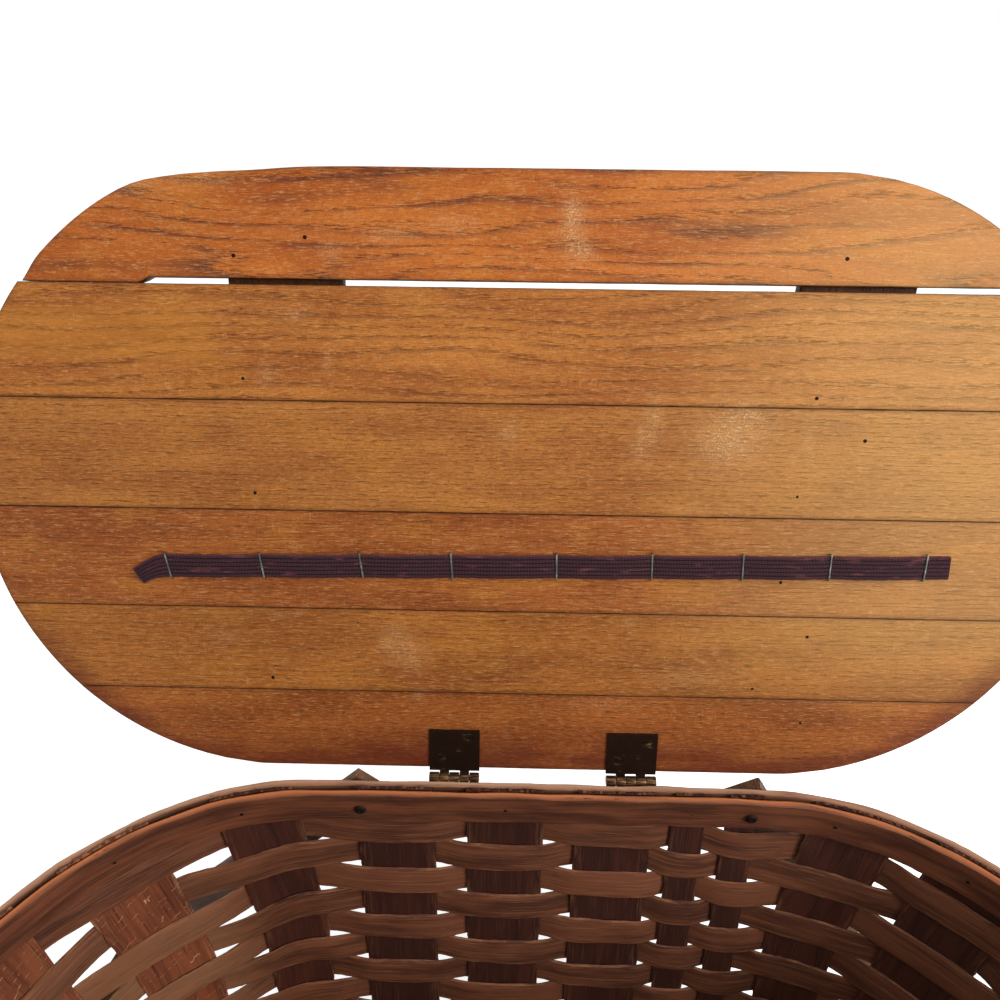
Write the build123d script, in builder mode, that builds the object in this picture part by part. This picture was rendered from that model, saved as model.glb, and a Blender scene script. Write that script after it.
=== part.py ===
"""Wooden picnic basket: woven splint body, hinged board lid and two swinging bail handles.

The origin is on the floor under the middle of the basket. +X runs along the basket,
+Y points to the hinge side and +Z is up. All sizes are in millimetres.
The lid stands open and both handles hang at the ends, which is the rest pose.
"""
from build123d import *
import math
import os

os.makedirs("parts", exist_ok=True)

# Overall shape of the basket, seen from above at the rim
basket_length = 512
basket_width = 287
bow_radius = 650
bow_turn = 3.5
wall_taper = 12

# Rim hoops, with the splint ends held between them
hoop_thickness = 3.6
hoop_height = 21
splint_slot = 2.4
splint_end_drop = 0.8

# Splints: upright stakes and the weavers that go round
splint_thickness = 1.4
weaver_rows = 11
weaver_height = 15.9
weaver_pitch = 16.9
weaver_lift_at_edge = 1.8
weaver_lift_at_centre = 2.5
weaver_edge_margin = 1
weaver_edge_bend = 8
weaver_crown_bend = 60
layer_gap = 0.1

# Upright splints of the long sides, by place along X and by width
side_stakes = [(-71.7, 40), (-15.7, 40), (39.9, 40), (77.9, 18), (104.5, 17)]
# Upright splints round each end, evenly spaced, with the first one's turn from the long side and the
# width of each in degrees
end_stake_count = 7
end_stake_first_turn = 14.5
end_stake_turn_width = 16.8
stake_foot_length = 24
foot_nail_inset = 13
stake_bend_radius = 4
rim_bend_radius = 14

# Bottom, two inner boards over the splints and three runners under them
base_board_thickness = 9.5
base_clearance = 1.6
base_board_gap = 0.4
runner_end_margin = 106
runner_width = 30
runner_height = 8
runner_offset = 75
middle_nail_offset = 8
weaver_above_board_bottom = 3.6

# Lid of six boards, counted from the hinge to the free edge
lid_board_widths = [41.4, 43.0, 48.6, 51.1, 50.8, 46.4]
lid_board_gaps = [0.3, 0.3, 0.3, 0.3, 2.5]
lid_thickness = 7
lid_end_overhang = 4
lid_corner_radius = 136
lid_shift = -7
lid_open_angle = 110

# Two battens nailed across the top of the lid
batten_width = 52
batten_thickness = 7
batten_length = 250
batten_margin = 17
batten_setbacks = [151.7, 121.8]
batten_tilts = [1.9, -3.6]

# Hinges, a pair of small butt hinges
hinge_centres = [-42, 47.5]
hinge_width = 25.4
leaf_thickness = 1.0
leaf_overlap_on_lid = 21.5
leaf_drop_on_rim = 20
knuckle_radius = 2.65
knuckle_count = 5
knuckle_gap = 0.3
pin_radius = 1.3
pin_clearance = 0.05
lid_edge_from_pin = 4.0
closed_leaf_clearance = 0.35
screw_radius = 1.3
screw_head_radius = 2.7
screw_head_height = 1.0
lid_screw_length = 5.5
rim_screw_length = 7
lid_screw_places = [(7.2, 17.3), (-6.6, 6.5)]
rim_screw_places = [(7.2, 7.5), (-6.6, 14.5)]

# Bail handles, a flat bent strip each
pivot_setbacks = [167.4, 149.1]
pivot_drop = 11
handle_reach = 232
handle_end = 6.3
handle_width = 22
handle_thickness = 5.5
handle_bend_radius = 42
handle_side_gap = 0.4
handle_rest_angles = [225, 302]
rivet_radius = 2.0
rivet_head_radius = 4.0
rivet_head_height = 1.5
rivet_clearance = 0.08
rivet_head_seat = 0.2

# Elastic strap across the inside of the lid, held down by staples
strap_width = 11.4
strap_thickness = 1.2
strap_bulge = 1.5
strap_height_on_lid = 108.6
strap_tilt = 0.85
strap_left_end = -194
strap_right_end = 192
staple_places = [-179, -134, -86.4, -43.3, 6.5, 51.6, 94.4, 135.4, 180]
staple_wire_width = 1.0
staple_wire_thickness = 0.6
staple_leg = 5
staple_overhang = 0.8
staple_clearance = 0.15

# Nails, with those of the rim at two of the side splints and at every end stake
rim_nail_splints = [1, 3]
nail_radius = 1.0
nail_head_radius = 2.2
nail_head_height = 0.8
nail_clearance = 0.05
hidden_nail_stop = 3
rim_nail_radius = 0.8
rim_nail_head_radius = 1.9
rim_nail_head_height = 0.7
base_nail_radius = 0.9
base_nail_head_radius = 2.0
base_nail_head_height = 0.7
base_nail_sink = 1.0
base_nail_depth = 7

# Nails of the lid battens, by place from the batten's middle and up the lid. The first lists have the
# point at the inner face
left_nails_through = [(-23.3, 248), (-22.6, 195), (-20.3, 142), (-17.1, 48), (8.3, 256)]
left_nails_hidden = [(5.3, 213), (5.3, 163), (-18.7, 104), (8.3, 119), (11.3, 70), (-15.7, 33), (11.3, 24)]
right_nails_through = [(-3.7, 250), (-10.2, 190), (13.8, 171), (-14.2, 144.5), (-17.7, 102.5), (-2.2, 75),
                       (-26.2, 47), (-0.7, 29)]
right_nails_hidden = [(18.8, 259), (14.8, 216), (9.8, 116), (-23.2, 24)]

# Sizes that follow from the ones above
end_radius = (basket_width / 2 - bow_radius * (1 - math.cos(math.radians(bow_turn)))) \
    / math.cos(math.radians(bow_turn))
flat_half = basket_length / 2 - bow_radius * math.sin(math.radians(bow_turn)) \
    - end_radius * (1 - math.sin(math.radians(bow_turn)))
bow_centre_y = basket_width / 2 - bow_radius
end_centre_x = flat_half + (bow_radius - end_radius) * math.sin(math.radians(bow_turn))
rim_thickness = 2 * hoop_thickness + splint_slot
wall_inset_at_rim = hoop_thickness + splint_slot / 2
cross_splint_z = runner_height + splint_thickness / 2
upper_splint_z = cross_splint_z + splint_thickness + layer_gap
base_board_z = upper_splint_z + splint_thickness / 2 + layer_gap
weave_bottom = base_board_z + weaver_above_board_bottom
hoop_bottom = weave_bottom + weaver_rows * weaver_pitch
rim_top = hoop_bottom + hoop_height
rim_back = basket_width / 2
runner_length = basket_length - 2 * runner_end_margin
pivot_places = [pivot_setbacks[0] - basket_length / 2, basket_length / 2 - pivot_setbacks[1]]
lid_depth = sum(lid_board_widths) + sum(lid_board_gaps)
lid_length = basket_length + 2 * lid_end_overhang
batten_centres = [lid_shift - lid_length / 2 + batten_setbacks[0],
                  lid_shift + lid_length / 2 - batten_setbacks[1]]
pin_y = rim_back + knuckle_radius
pin_z = rim_top + closed_leaf_clearance + leaf_thickness - knuckle_radius
pivot_z = rim_top - pivot_drop
end_stake_step = (180 - 2 * end_stake_first_turn) / (end_stake_count - 1)
end_stake_turns = [end_stake_first_turn + end_stake_step * number for number in range(end_stake_count)]
handle_leg_y = rim_back + handle_side_gap + handle_thickness / 2
lean = math.radians(lid_open_angle - 90)

# The lid's own plane: X along the hinge, Y up the lid from the hinge pin, Z out of its inner face
lid_plane = Plane(origin=(0, pin_y, pin_z), x_dir=(1, 0, 0), z_dir=(0, -math.cos(lean), math.sin(lean)))
lid_inner_face = -knuckle_radius
lid_outer_face = lid_inner_face - lid_thickness


def wall_inset(height):
    """Distance from the rim's outline in to the middle of the woven wall at a height."""
    return wall_inset_at_rim + max(0, hoop_bottom - height) * math.tan(math.radians(wall_taper))


def outline_edges(inset):
    """Closed basket outline, flat and gently bowed sides with round ends, moved in by inset."""
    half_width = basket_width / 2 - inset
    bow = bow_radius - inset
    end = end_radius - inset
    end_sweep = 180 - 2 * bow_turn
    for side in (1, -1):
        Line((-flat_half, side * half_width), (flat_half, side * half_width))
        CenterArc((side * end_centre_x, 0), end, 90 - 90 * side - end_sweep / 2, end_sweep)
        CenterArc((flat_half, side * bow_centre_y), bow, 90 * side - bow_turn * (side + 1) / 2, bow_turn)
        CenterArc((-flat_half, side * bow_centre_y), bow, 90 * side + bow_turn * (side - 1) / 2, bow_turn)


def outline_place(station, inset):
    """Point and outward direction at a length along the rim outline from the middle of the back.

    The length grows towards +X, and the point is moved in by inset.
    """
    bow_length = math.radians(bow_turn) * bow_radius
    end_length = math.radians(90 - bow_turn) * end_radius
    quarter = flat_half + bow_length + end_length
    along = station % (4 * quarter)
    front = quarter < along < 3 * quarter
    left = along > 2 * quarter
    if front:
        along = abs(2 * quarter - along)
    elif left:
        along = 4 * quarter - along
    if along <= flat_half:
        turn, centre_x, centre_y, radius = 0, along, bow_centre_y, bow_radius
    elif along <= flat_half + bow_length:
        turn = (along - flat_half) / bow_radius
        centre_x, centre_y, radius = flat_half, bow_centre_y, bow_radius
    else:
        turn = math.radians(bow_turn) + (along - flat_half - bow_length) / end_radius
        centre_x, centre_y, radius = end_centre_x, 0, end_radius
    x_sign = -1 if left else 1
    y_sign = -1 if front else 1
    normal = (x_sign * math.sin(turn), y_sign * math.cos(turn))
    reach = radius - inset
    point = (x_sign * (centre_x + reach * math.sin(turn)), y_sign * (centre_y + reach * math.cos(turn)))
    return point, normal


def stake_stations(inset):
    """Every upright splint in order round the rim, as its station and half its width along the rim.

    A side splint keeps its place along X, so its station depends a little on the inset.
    """
    bow_length = math.radians(bow_turn) * bow_radius
    quarter = flat_half + bow_length + math.radians(90 - bow_turn) * end_radius
    stakes = []
    for place, width in side_stakes:
        past_flat = max(0, abs(place) - flat_half)
        bowed = math.asin(past_flat / (bow_radius - inset)) * bow_radius
        station = math.copysign(abs(place) - past_flat + bowed, place)
        stakes += [(station, width / 2), (2 * quarter - station, width / 2)]
    for turn in end_stake_turns:
        station = quarter + math.radians(turn - 90) * end_radius
        half = math.radians(end_stake_turn_width / 2) * end_radius
        stakes += [(station, half), (4 * quarter - station, half)]
    return sorted((station % (4 * quarter), half) for station, half in stakes)


def weaver_points(height, first_side):
    """Corners of a weaver's middle line, which goes outside one stake and inside the next."""
    points = []
    for index, (station, half) in enumerate(stake_stations(wall_inset(height))):
        side = first_side if index % 2 == 0 else -first_side
        edge = half + weaver_edge_margin
        for along, lift in ((-edge, weaver_lift_at_edge), (0, weaver_lift_at_centre),
                            (edge, weaver_lift_at_edge)):
            point, _ = outline_place(station + along, wall_inset(height) - side * lift)
            points.append(point)
    return points


def rim_hole_planes(drop):
    """Planes on the rim's outer face, square to it, at the stakes that are nailed."""
    planes = []
    for end in (1, -1):
        for turn in end_stake_turns:
            across, along = math.cos(math.radians(turn)), math.sin(math.radians(turn))
            origin = (end * (end_centre_x + end_radius * along), end_radius * across, rim_top - drop)
            planes.append(Plane(origin=origin, x_dir=(0, 0, 1), z_dir=(end * along, across, 0)))
    for number in rim_nail_splints:
        for side in (1, -1):
            origin = (side_stakes[number][0], side * rim_back, rim_top - drop)
            planes.append(Plane(origin=origin, x_dir=(0, 0, 1), z_dir=(0, side, 0)))
    return planes


rim_nail_planes = rim_hole_planes(hoop_height / 2)
# The middle runner's nails stand each side of the joint between the two base boards
runner_nail_places = [(place, side * runner_offset) for place, _ in side_stakes for side in (1, -1)] \
    + [(place, middle_nail_offset * (-1) ** number) for number, (place, _) in enumerate(side_stakes)]
rim_leaf_plane = Plane(origin=(0, rim_back, pin_z), x_dir=(1, 0, 0), z_dir=(0, 1, 0))
rim_screw_centres = [(centre + x, down) for centre in hinge_centres for x, down in rim_screw_places]


def cut_rim_holes():
    """Cut the holes of the rim nails, handle rivets and hinge screws in the piece being built."""
    with Locations(*rim_nail_planes):
        Cylinder(rim_nail_radius + nail_clearance, 3 * rim_thickness, mode=Mode.SUBTRACT)
    with Locations(*[(place, 0, pivot_z) for place in pivot_places]):
        Cylinder(rivet_radius + nail_clearance, 2 * basket_width, rotation=(90, 0, 0), mode=Mode.SUBTRACT)
    with Locations(rim_leaf_plane):
        with Locations(*rim_screw_centres):
            Cylinder(screw_radius + nail_clearance, 2 * (rim_screw_length + nail_clearance),
                     mode=Mode.SUBTRACT)


def make_hoop(outer_inset):
    """One hoop of the rim, with its holes."""
    with BuildPart() as hoop:
        with BuildSketch(Plane.XY.offset(hoop_bottom)):
            with BuildLine():
                outline_edges(outer_inset)
            make_face()
            with BuildLine():
                outline_edges(outer_inset + hoop_thickness)
            make_face(mode=Mode.SUBTRACT)
        extrude(amount=hoop_height)
        cut_rim_holes()
    return hoop


outer_hoop = make_hoop(0)
outer_hoop.part.label = "outer_rim_hoop"
export_step(outer_hoop.part, "parts/outer_rim_hoop.step")

inner_hoop = make_hoop(hoop_thickness + splint_slot)
inner_hoop.part.label = "inner_rim_hoop"
export_step(inner_hoop.part, "parts/inner_rim_hoop.step")


def stake_route(rim_radius, foot_z, foot_end):
    """Points of a stake's middle line from the rim to its foot, as distance out and height."""
    foot_radius = rim_radius - (wall_inset(foot_z) - wall_inset_at_rim)
    return [(rim_radius, rim_top - splint_end_drop), (rim_radius, hoop_bottom),
            (foot_radius, foot_z), (foot_end, foot_z)]


def make_side_splint(place, width):
    """A splint that goes down the back wall, under the bottom and up the front wall."""
    (_, rim_y), _ = outline_place(place, wall_inset_at_rim)
    back = stake_route(rim_y, cross_splint_z, 0)[:3]
    front = [(-y, z) for y, z in reversed(back)]
    bends = [rim_bend_radius, stake_bend_radius, stake_bend_radius, rim_bend_radius]
    with BuildPart() as splint:
        with BuildSketch(Plane.YZ.offset(place)):
            with BuildLine():
                FilletPolyline(*back, *front, radius=bends)
            trace(line_width=splint_thickness)
        extrude(amount=width / 2, both=True)
        cut_rim_holes()
        with Locations(*[(x, y, cross_splint_z) for x, y in runner_nail_places]):
            Cylinder(base_nail_radius + nail_clearance, 4 * splint_thickness, mode=Mode.SUBTRACT)
    return splint


side_splints = []
for number, (place, width) in enumerate(side_stakes, start=1):
    side_splint = make_side_splint(place, width)
    side_splint.part.label = f"cross_splint_{number}"
    export_step(side_splint.part, f"parts/cross_splint_{number}.step")
    side_splints.append(side_splint)


foot_radius_at_end = end_radius - wall_inset(upper_splint_z) - stake_foot_length
foot_nail_radius = foot_radius_at_end + stake_foot_length - foot_nail_inset


def foot_nail_places():
    """Centres of the nails through the end stakes' feet."""
    return [(end * (end_centre_x + foot_nail_radius * math.sin(math.radians(turn))),
             foot_nail_radius * math.cos(math.radians(turn))) for end in (1, -1) for turn in end_stake_turns]


def make_end_stake(end, turn):
    """A stake that curves with the round end, with its foot turned in under the base boards."""
    route = stake_route(end_radius - wall_inset_at_rim, upper_splint_z, foot_radius_at_end)
    direction = math.degrees(math.atan2(math.cos(math.radians(turn)), end * math.sin(math.radians(turn))))
    start = math.radians(direction - end_stake_turn_width / 2)
    section = Plane(origin=(end * end_centre_x, 0, 0), x_dir=(math.cos(start), math.sin(start), 0),
                    z_dir=(math.sin(start), -math.cos(start), 0))
    with BuildPart() as stake:
        with BuildSketch(section):
            with BuildLine():
                FilletPolyline(*route, radius=[rim_bend_radius, stake_bend_radius])
            trace(line_width=splint_thickness)
        revolve(axis=Axis((end * end_centre_x, 0, 0), (0, 0, 1)), revolution_arc=end_stake_turn_width)
        cut_rim_holes()
        with Locations(*[(x, y, upper_splint_z) for x, y in foot_nail_places()]):
            Cylinder(base_nail_radius + nail_clearance, 4 * splint_thickness, mode=Mode.SUBTRACT)
    return stake


for end, end_name in ((1, "right"), (-1, "left")):
    for number, turn in enumerate(end_stake_turns, start=1):
        end_stake = make_end_stake(end, turn)
        end_stake.part.label = f"{end_name}_end_stake_{number}"
        export_step(end_stake.part, f"parts/{end_name}_end_stake_{number}.step")


def make_weaver(row):
    """One woven splint that goes once round the basket, counted from the rim down."""
    middle = hoop_bottom - (row - 0.5) * weaver_pitch
    corners = weaver_points(middle, 1 if row % 2 == 0 else -1)
    bends = [weaver_edge_bend, weaver_crown_bend, weaver_edge_bend] * (len(corners) // 3)
    with BuildPart() as weaver:
        with BuildLine(Plane.XY.offset(middle)) as route:
            FilletPolyline(*corners, radius=bends, close=True)
        start, heading = route.line @ 0, route.line % 0
        with BuildSketch(Plane(origin=start, x_dir=(heading.Y, -heading.X, 0), z_dir=heading)):
            Rectangle(splint_thickness, weaver_height, rotation=-wall_taper)
        sweep(path=route.line)
    return weaver


for row in range(1, weaver_rows + 1):
    weaver = make_weaver(row)
    weaver.part.label = f"weaver_{row}"
    export_step(weaver.part, f"parts/weaver_{row}.step")

base_board_inset = wall_inset(weave_bottom) + weaver_lift_at_centre + splint_thickness / 2 + base_clearance


def make_base_board(side):
    """One of the two boards of the bottom, on the front or the back half."""
    with BuildPart() as board:
        with BuildSketch(Plane.XY.offset(base_board_z)):
            with BuildLine():
                outline_edges(base_board_inset)
            make_face()
            with Locations((0, side * (basket_width / 2 + base_board_gap / 2))):
                Rectangle(basket_length, basket_width, mode=Mode.INTERSECT)
        extrude(amount=base_board_thickness)
        with Locations(*[(x, y, base_board_z) for x, y in foot_nail_places() + runner_nail_places]):
            Cylinder(base_nail_radius + nail_clearance, 2 * base_nail_depth, mode=Mode.SUBTRACT)
    return board


for side, board_name in ((1, "back_base_board"), (-1, "front_base_board")):
    base_board = make_base_board(side)
    base_board.part.label = board_name
    export_step(base_board.part, f"parts/{board_name}.step")


def make_runner(offset):
    """A runner under the bottom that the basket stands on."""
    with BuildPart() as runner:
        with Locations((0, offset, 0)):
            Box(runner_length, runner_width, runner_height, align=(Align.CENTER, Align.CENTER, Align.MIN))
        with Locations(*[(x, y, 0) for x, y in runner_nail_places]):
            Cylinder(base_nail_radius + nail_clearance, 3 * runner_height, mode=Mode.SUBTRACT)
            Cylinder(base_nail_head_radius + nail_clearance, 2 * base_nail_sink, mode=Mode.SUBTRACT)
    return runner


for offset, runner_name in ((runner_offset, "back_runner"), (0, "middle_runner"),
                            (-runner_offset, "front_runner")):
    runner = make_runner(offset)
    runner.part.label = runner_name
    export_step(runner.part, f"parts/{runner_name}.step")


UPWARD = (Align.CENTER, Align.CENTER, Align.MIN)
DOWNWARD = (Align.CENTER, Align.CENTER, Align.MAX)


def make_base_nails():
    """Nails up through the runners and the splints' feet into the base boards."""
    nail_tip = base_board_z + base_nail_depth - nail_clearance
    foot_face = upper_splint_z - splint_thickness / 2
    heads = [(x, y, base_nail_sink - base_nail_head_height) for x, y in runner_nail_places]
    heads += [(x, y, foot_face - base_nail_head_height) for x, y in foot_nail_places()]
    with BuildPart() as nails:
        for x, y, z in heads:
            with Locations((x, y, z)):
                Cylinder(base_nail_radius, nail_tip - z, align=UPWARD)
                Cylinder(base_nail_head_radius, base_nail_head_height, align=UPWARD)
    return nails


base_nails = make_base_nails()
base_nails.part.label = "base_nails"
export_step(base_nails.part, "parts/base_nails.step")


def make_rim_nails():
    """Nails through both hoops and the stakes between them, with their heads outside."""
    with BuildPart() as nails:
        for plane in rim_nail_planes:
            with Locations(plane):
                Cylinder(rim_nail_radius, rim_thickness, align=DOWNWARD)
                Cylinder(rim_nail_head_radius, rim_nail_head_height, align=UPWARD)
    return nails


rim_nails = make_rim_nails()
rim_nails.part.label = "rim_nails"
export_step(rim_nails.part, "parts/rim_nails.step")


def make_handle_rivets():
    """Four rivets that the handles turn on, through the rim and the handles' legs."""
    leg_face = handle_leg_y + handle_thickness / 2 + rivet_head_seat
    with BuildPart() as rivets:
        for place in pivot_places:
            (_, inner_face), _ = outline_place(place, rim_thickness + rivet_head_seat)
            for side in (1, -1):
                with Locations(Plane(origin=(place, 0, pivot_z), x_dir=(1, 0, 0), z_dir=(0, side, 0))):
                    with Locations((0, 0, inner_face)):
                        Cylinder(rivet_radius, leg_face - inner_face, align=UPWARD)
                        Cylinder(rivet_head_radius, rivet_head_height, align=DOWNWARD)
                    with Locations((0, 0, leg_face)):
                        Cylinder(rivet_head_radius, rivet_head_height, align=UPWARD)
        rims = rivets.edges().filter_by(GeomType.CIRCLE).filter_by(
            lambda edge: abs(edge.radius - rivet_head_radius) < nail_clearance)
        fillet(rims, rivet_head_height * 0.4)
    return rivets


handle_rivets = make_handle_rivets()
handle_rivets.part.label = "handle_rivets"
export_step(handle_rivets.part, "parts/handle_rivets.step")


def make_handle(place, rest_angle):
    """A bent strip over the basket, drawn at its rest angle in the plane that it lies in."""
    out_x = math.cos(math.radians(rest_angle))
    out_z = math.sin(math.radians(rest_angle))
    middle = Plane(origin=(place, 0, pivot_z), x_dir=(0, 1, 0), z_dir=(out_z, 0, -out_x))
    leg = [(handle_leg_y, -handle_end), (handle_leg_y, handle_reach)]
    other_leg = [(-y, reach) for y, reach in reversed(leg)]
    with BuildPart() as handle:
        with BuildSketch(middle):
            with BuildLine():
                FilletPolyline(*leg, *other_leg, radius=handle_bend_radius)
            trace(line_width=handle_thickness)
        extrude(amount=handle_width / 2, both=True)
        with Locations(Plane(origin=(place, 0, pivot_z), x_dir=(1, 0, 0), z_dir=(0, 1, 0))):
            Cylinder(rivet_radius + rivet_clearance, 2 * basket_width, mode=Mode.SUBTRACT)
    return handle


for place, rest_angle, handle_name in zip(pivot_places, handle_rest_angles, ("left_handle", "right_handle")):
    handle = make_handle(place, rest_angle)
    handle.part.label = handle_name
    export_step(handle.part, f"parts/{handle_name}.step")


def on_lid(places, height):
    """Locations on the lid, from places along the hinge and up from the lid's hinge edge."""
    lid_face = lid_plane.offset(height).location
    return [lid_face * Location((x, lid_edge_from_pin + up, 0)) for x, up in places]


strap_along = lid_plane.x_dir * math.cos(math.radians(strap_tilt)) \
    + lid_plane.y_dir * math.sin(math.radians(strap_tilt))
strap_origin = on_lid([(0, strap_height_on_lid)], lid_inner_face)[0].position
strap_side = Plane(origin=strap_origin, x_dir=strap_along, z_dir=strap_along.cross(lid_plane.z_dir))
staple_half_span = strap_width / 2 + staple_overhang
staple_crown = strap_thickness + staple_clearance + staple_wire_thickness / 2


def staple_planes():
    """Planes across the strap at each staple, with X across the strap and Y out of the lid."""
    return [Plane(origin=strap_side.from_local_coords((place, 0, 0)), x_dir=strap_side.z_dir,
                  z_dir=strap_side.z_dir.cross(lid_plane.z_dir)) for place in staple_places]


def make_strap():
    """Elastic strap that lies on the lid at each staple and bulges a little between them."""
    low = nail_clearance
    with BuildPart() as strap:
        with BuildSketch(strap_side):
            with BuildLine():
                for shift in (0, strap_thickness):
                    Line((strap_left_end, low + shift), (staple_places[0], low + shift))
                    for start, finish in zip(staple_places, staple_places[1:]):
                        ThreePointArc((start, low + shift), ((start + finish) / 2, strap_bulge + shift),
                                      (finish, low + shift))
                    Line((staple_places[-1], low + shift), (strap_right_end, low + shift))
                Line((strap_left_end, low), (strap_left_end, low + strap_thickness))
                Line((strap_right_end, low), (strap_right_end, low + strap_thickness))
            make_face()
        extrude(amount=strap_width / 2, both=True)
    return strap


utensil_strap = make_strap()
utensil_strap.part.label = "utensil_strap"
export_step(utensil_strap.part, "parts/utensil_strap.step")


def make_staples():
    """Wire staples over the strap, with their legs in the lid."""
    with BuildPart() as staples:
        for plane in staple_planes():
            with BuildSketch(plane):
                with BuildLine():
                    Polyline((-staple_half_span, -staple_leg), (-staple_half_span, staple_crown),
                             (staple_half_span, staple_crown), (staple_half_span, -staple_leg))
                trace(line_width=staple_wire_thickness)
            extrude(amount=staple_wire_width / 2, both=True)
    return staples


strap_staples = make_staples()
strap_staples.part.label = "strap_staples"
export_step(strap_staples.part, "parts/strap_staples.step")

through_nails = [(batten_centres[0] + x, up) for x, up in left_nails_through] \
    + [(batten_centres[1] + x, up) for x, up in right_nails_through]
hidden_nails = [(batten_centres[0] + x, up) for x, up in left_nails_hidden] \
    + [(batten_centres[1] + x, up) for x, up in right_nails_hidden]
lid_screw_spots = [(centre + x, up) for centre in hinge_centres for x, up in lid_screw_places]


def cut_lid_holes():
    """Cut the holes of the batten nails, the hinge screws and the staples in the piece being built."""
    hole = nail_radius + nail_clearance
    with Locations(*on_lid(through_nails, lid_inner_face)):
        Cylinder(hole, 3 * lid_thickness, mode=Mode.SUBTRACT)
    with Locations(*on_lid(hidden_nails, lid_inner_face - hidden_nail_stop)):
        Cylinder(hole, 2 * lid_thickness, align=DOWNWARD, mode=Mode.SUBTRACT)
    with Locations(*on_lid(lid_screw_spots, lid_inner_face)):
        Cylinder(screw_radius + nail_clearance, 2 * (lid_screw_length + nail_clearance), mode=Mode.SUBTRACT)
    leg_width = staple_wire_thickness + 2 * nail_clearance
    leg_breadth = staple_wire_width + 2 * nail_clearance
    for plane in staple_planes():
        with Locations(plane):
            with Locations((-staple_half_span, 0), (staple_half_span, 0)):
                Box(leg_width, 2 * (staple_leg + nail_clearance), leg_breadth, mode=Mode.SUBTRACT)


def make_lid_board(number):
    """One board of the lid, counted from the hinge, cut to the lid's rounded outline."""
    width = lid_board_widths[number]
    start = sum(lid_board_widths[:number]) + sum(lid_board_gaps[:number])
    with BuildPart() as board:
        with BuildSketch(lid_plane.offset(lid_outer_face)):
            with Locations((lid_shift, lid_edge_from_pin + lid_depth / 2)):
                RectangleRounded(lid_length, lid_depth, lid_corner_radius)
            with Locations((lid_shift, lid_edge_from_pin + start + width / 2)):
                Rectangle(lid_length, width, mode=Mode.INTERSECT)
        extrude(amount=lid_thickness)
        cut_lid_holes()
    return board


for number in range(len(lid_board_widths)):
    lid_board = make_lid_board(number)
    lid_board.part.label = f"lid_board_{number + 1}"
    export_step(lid_board.part, f"parts/lid_board_{number + 1}.step")


def make_batten(centre, tilt):
    """A batten across the top of the lid boards, with its nail holes."""
    middle = on_lid([(centre, batten_margin + batten_length / 2)], lid_outer_face)[0]
    with BuildPart() as batten:
        with Locations(middle * Location((0, 0, 0), (0, 0, tilt))):
            Box(batten_width, batten_length, batten_thickness, align=DOWNWARD)
        with Locations(*on_lid(through_nails + hidden_nails, lid_outer_face)):
            Cylinder(nail_radius + nail_clearance, 4 * batten_thickness, mode=Mode.SUBTRACT)
        with Locations(*on_lid(through_nails + hidden_nails, lid_outer_face - batten_thickness)):
            Cylinder(nail_head_radius + nail_clearance, 2 * nail_head_height, mode=Mode.SUBTRACT)
    return batten


for centre, tilt, batten_name in zip(batten_centres, batten_tilts, ("left_lid_batten", "right_lid_batten")):
    batten = make_batten(centre, tilt)
    batten.part.label = batten_name
    export_step(batten.part, f"parts/{batten_name}.step")


def make_batten_nails():
    """Nails down through the battens, some with their points at the inner face of the lid."""
    head_face = lid_outer_face - batten_thickness
    with BuildPart() as nails:
        for places, stop in ((through_nails, 0), (hidden_nails, hidden_nail_stop + nail_clearance)):
            with Locations(*on_lid(places, head_face)):
                Cylinder(nail_radius, batten_thickness + lid_thickness - stop, align=UPWARD)
                Cylinder(nail_head_radius, nail_head_height, align=UPWARD)
    return nails


batten_nails = make_batten_nails()
batten_nails.part.label = "batten_nails"
export_step(batten_nails.part, "parts/batten_nails.step")

knuckle_pitch = hinge_width / knuckle_count
lid_leaf_plane = lid_plane.offset(lid_inner_face)


def make_leaf(plane, centre, reach, knuckles, screw_places):
    """A hinge leaf on the face of a plane, with its knuckles round the pin and countersunk holes."""
    plate_start = knuckle_radius + knuckle_gap
    knuckle_places = [centre + (index - (knuckle_count - 1) / 2) * knuckle_pitch for index in knuckles]
    with BuildPart() as leaf:
        with BuildSketch(plane):
            with Locations((centre, (plate_start + reach) / 2)):
                Rectangle(hinge_width, reach - plate_start)
            with Locations(*[(place, plate_start / 2) for place in knuckle_places]):
                Rectangle(knuckle_pitch - knuckle_gap, plate_start)
        extrude(amount=leaf_thickness)
        with Locations(plane):
            with Locations(*[(place, 0, knuckle_radius) for place in knuckle_places]):
                Cylinder(knuckle_radius, knuckle_pitch - knuckle_gap, rotation=(0, 90, 0))
            with Locations((centre, 0, knuckle_radius)):
                Cylinder(pin_radius + pin_clearance, 2 * hinge_width, rotation=(0, 90, 0), mode=Mode.SUBTRACT)
            with Locations(*[(centre + x, up, leaf_thickness - screw_head_height) for x, up in screw_places]):
                Cone(screw_radius + nail_clearance, screw_head_radius + nail_clearance, screw_head_height,
                     align=UPWARD, mode=Mode.SUBTRACT)
    return leaf


lid_knuckles = range(1, knuckle_count, 2)
rim_knuckles = range(0, knuckle_count, 2)
lid_leaf_screws = [(x, lid_edge_from_pin + up) for x, up in lid_screw_places]
for centre, side_name in zip(hinge_centres, ("left", "right")):
    lid_leaf = make_leaf(lid_leaf_plane, centre, lid_edge_from_pin + leaf_overlap_on_lid, lid_knuckles,
                         lid_leaf_screws)
    lid_leaf.part.label = f"{side_name}_lid_leaf"
    export_step(lid_leaf.part, f"parts/{side_name}_lid_leaf.step")
    rim_leaf = make_leaf(rim_leaf_plane, centre, leaf_drop_on_rim, rim_knuckles, rim_screw_places)
    rim_leaf.part.label = f"{side_name}_rim_leaf"
    export_step(rim_leaf.part, f"parts/{side_name}_rim_leaf.step")


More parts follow.
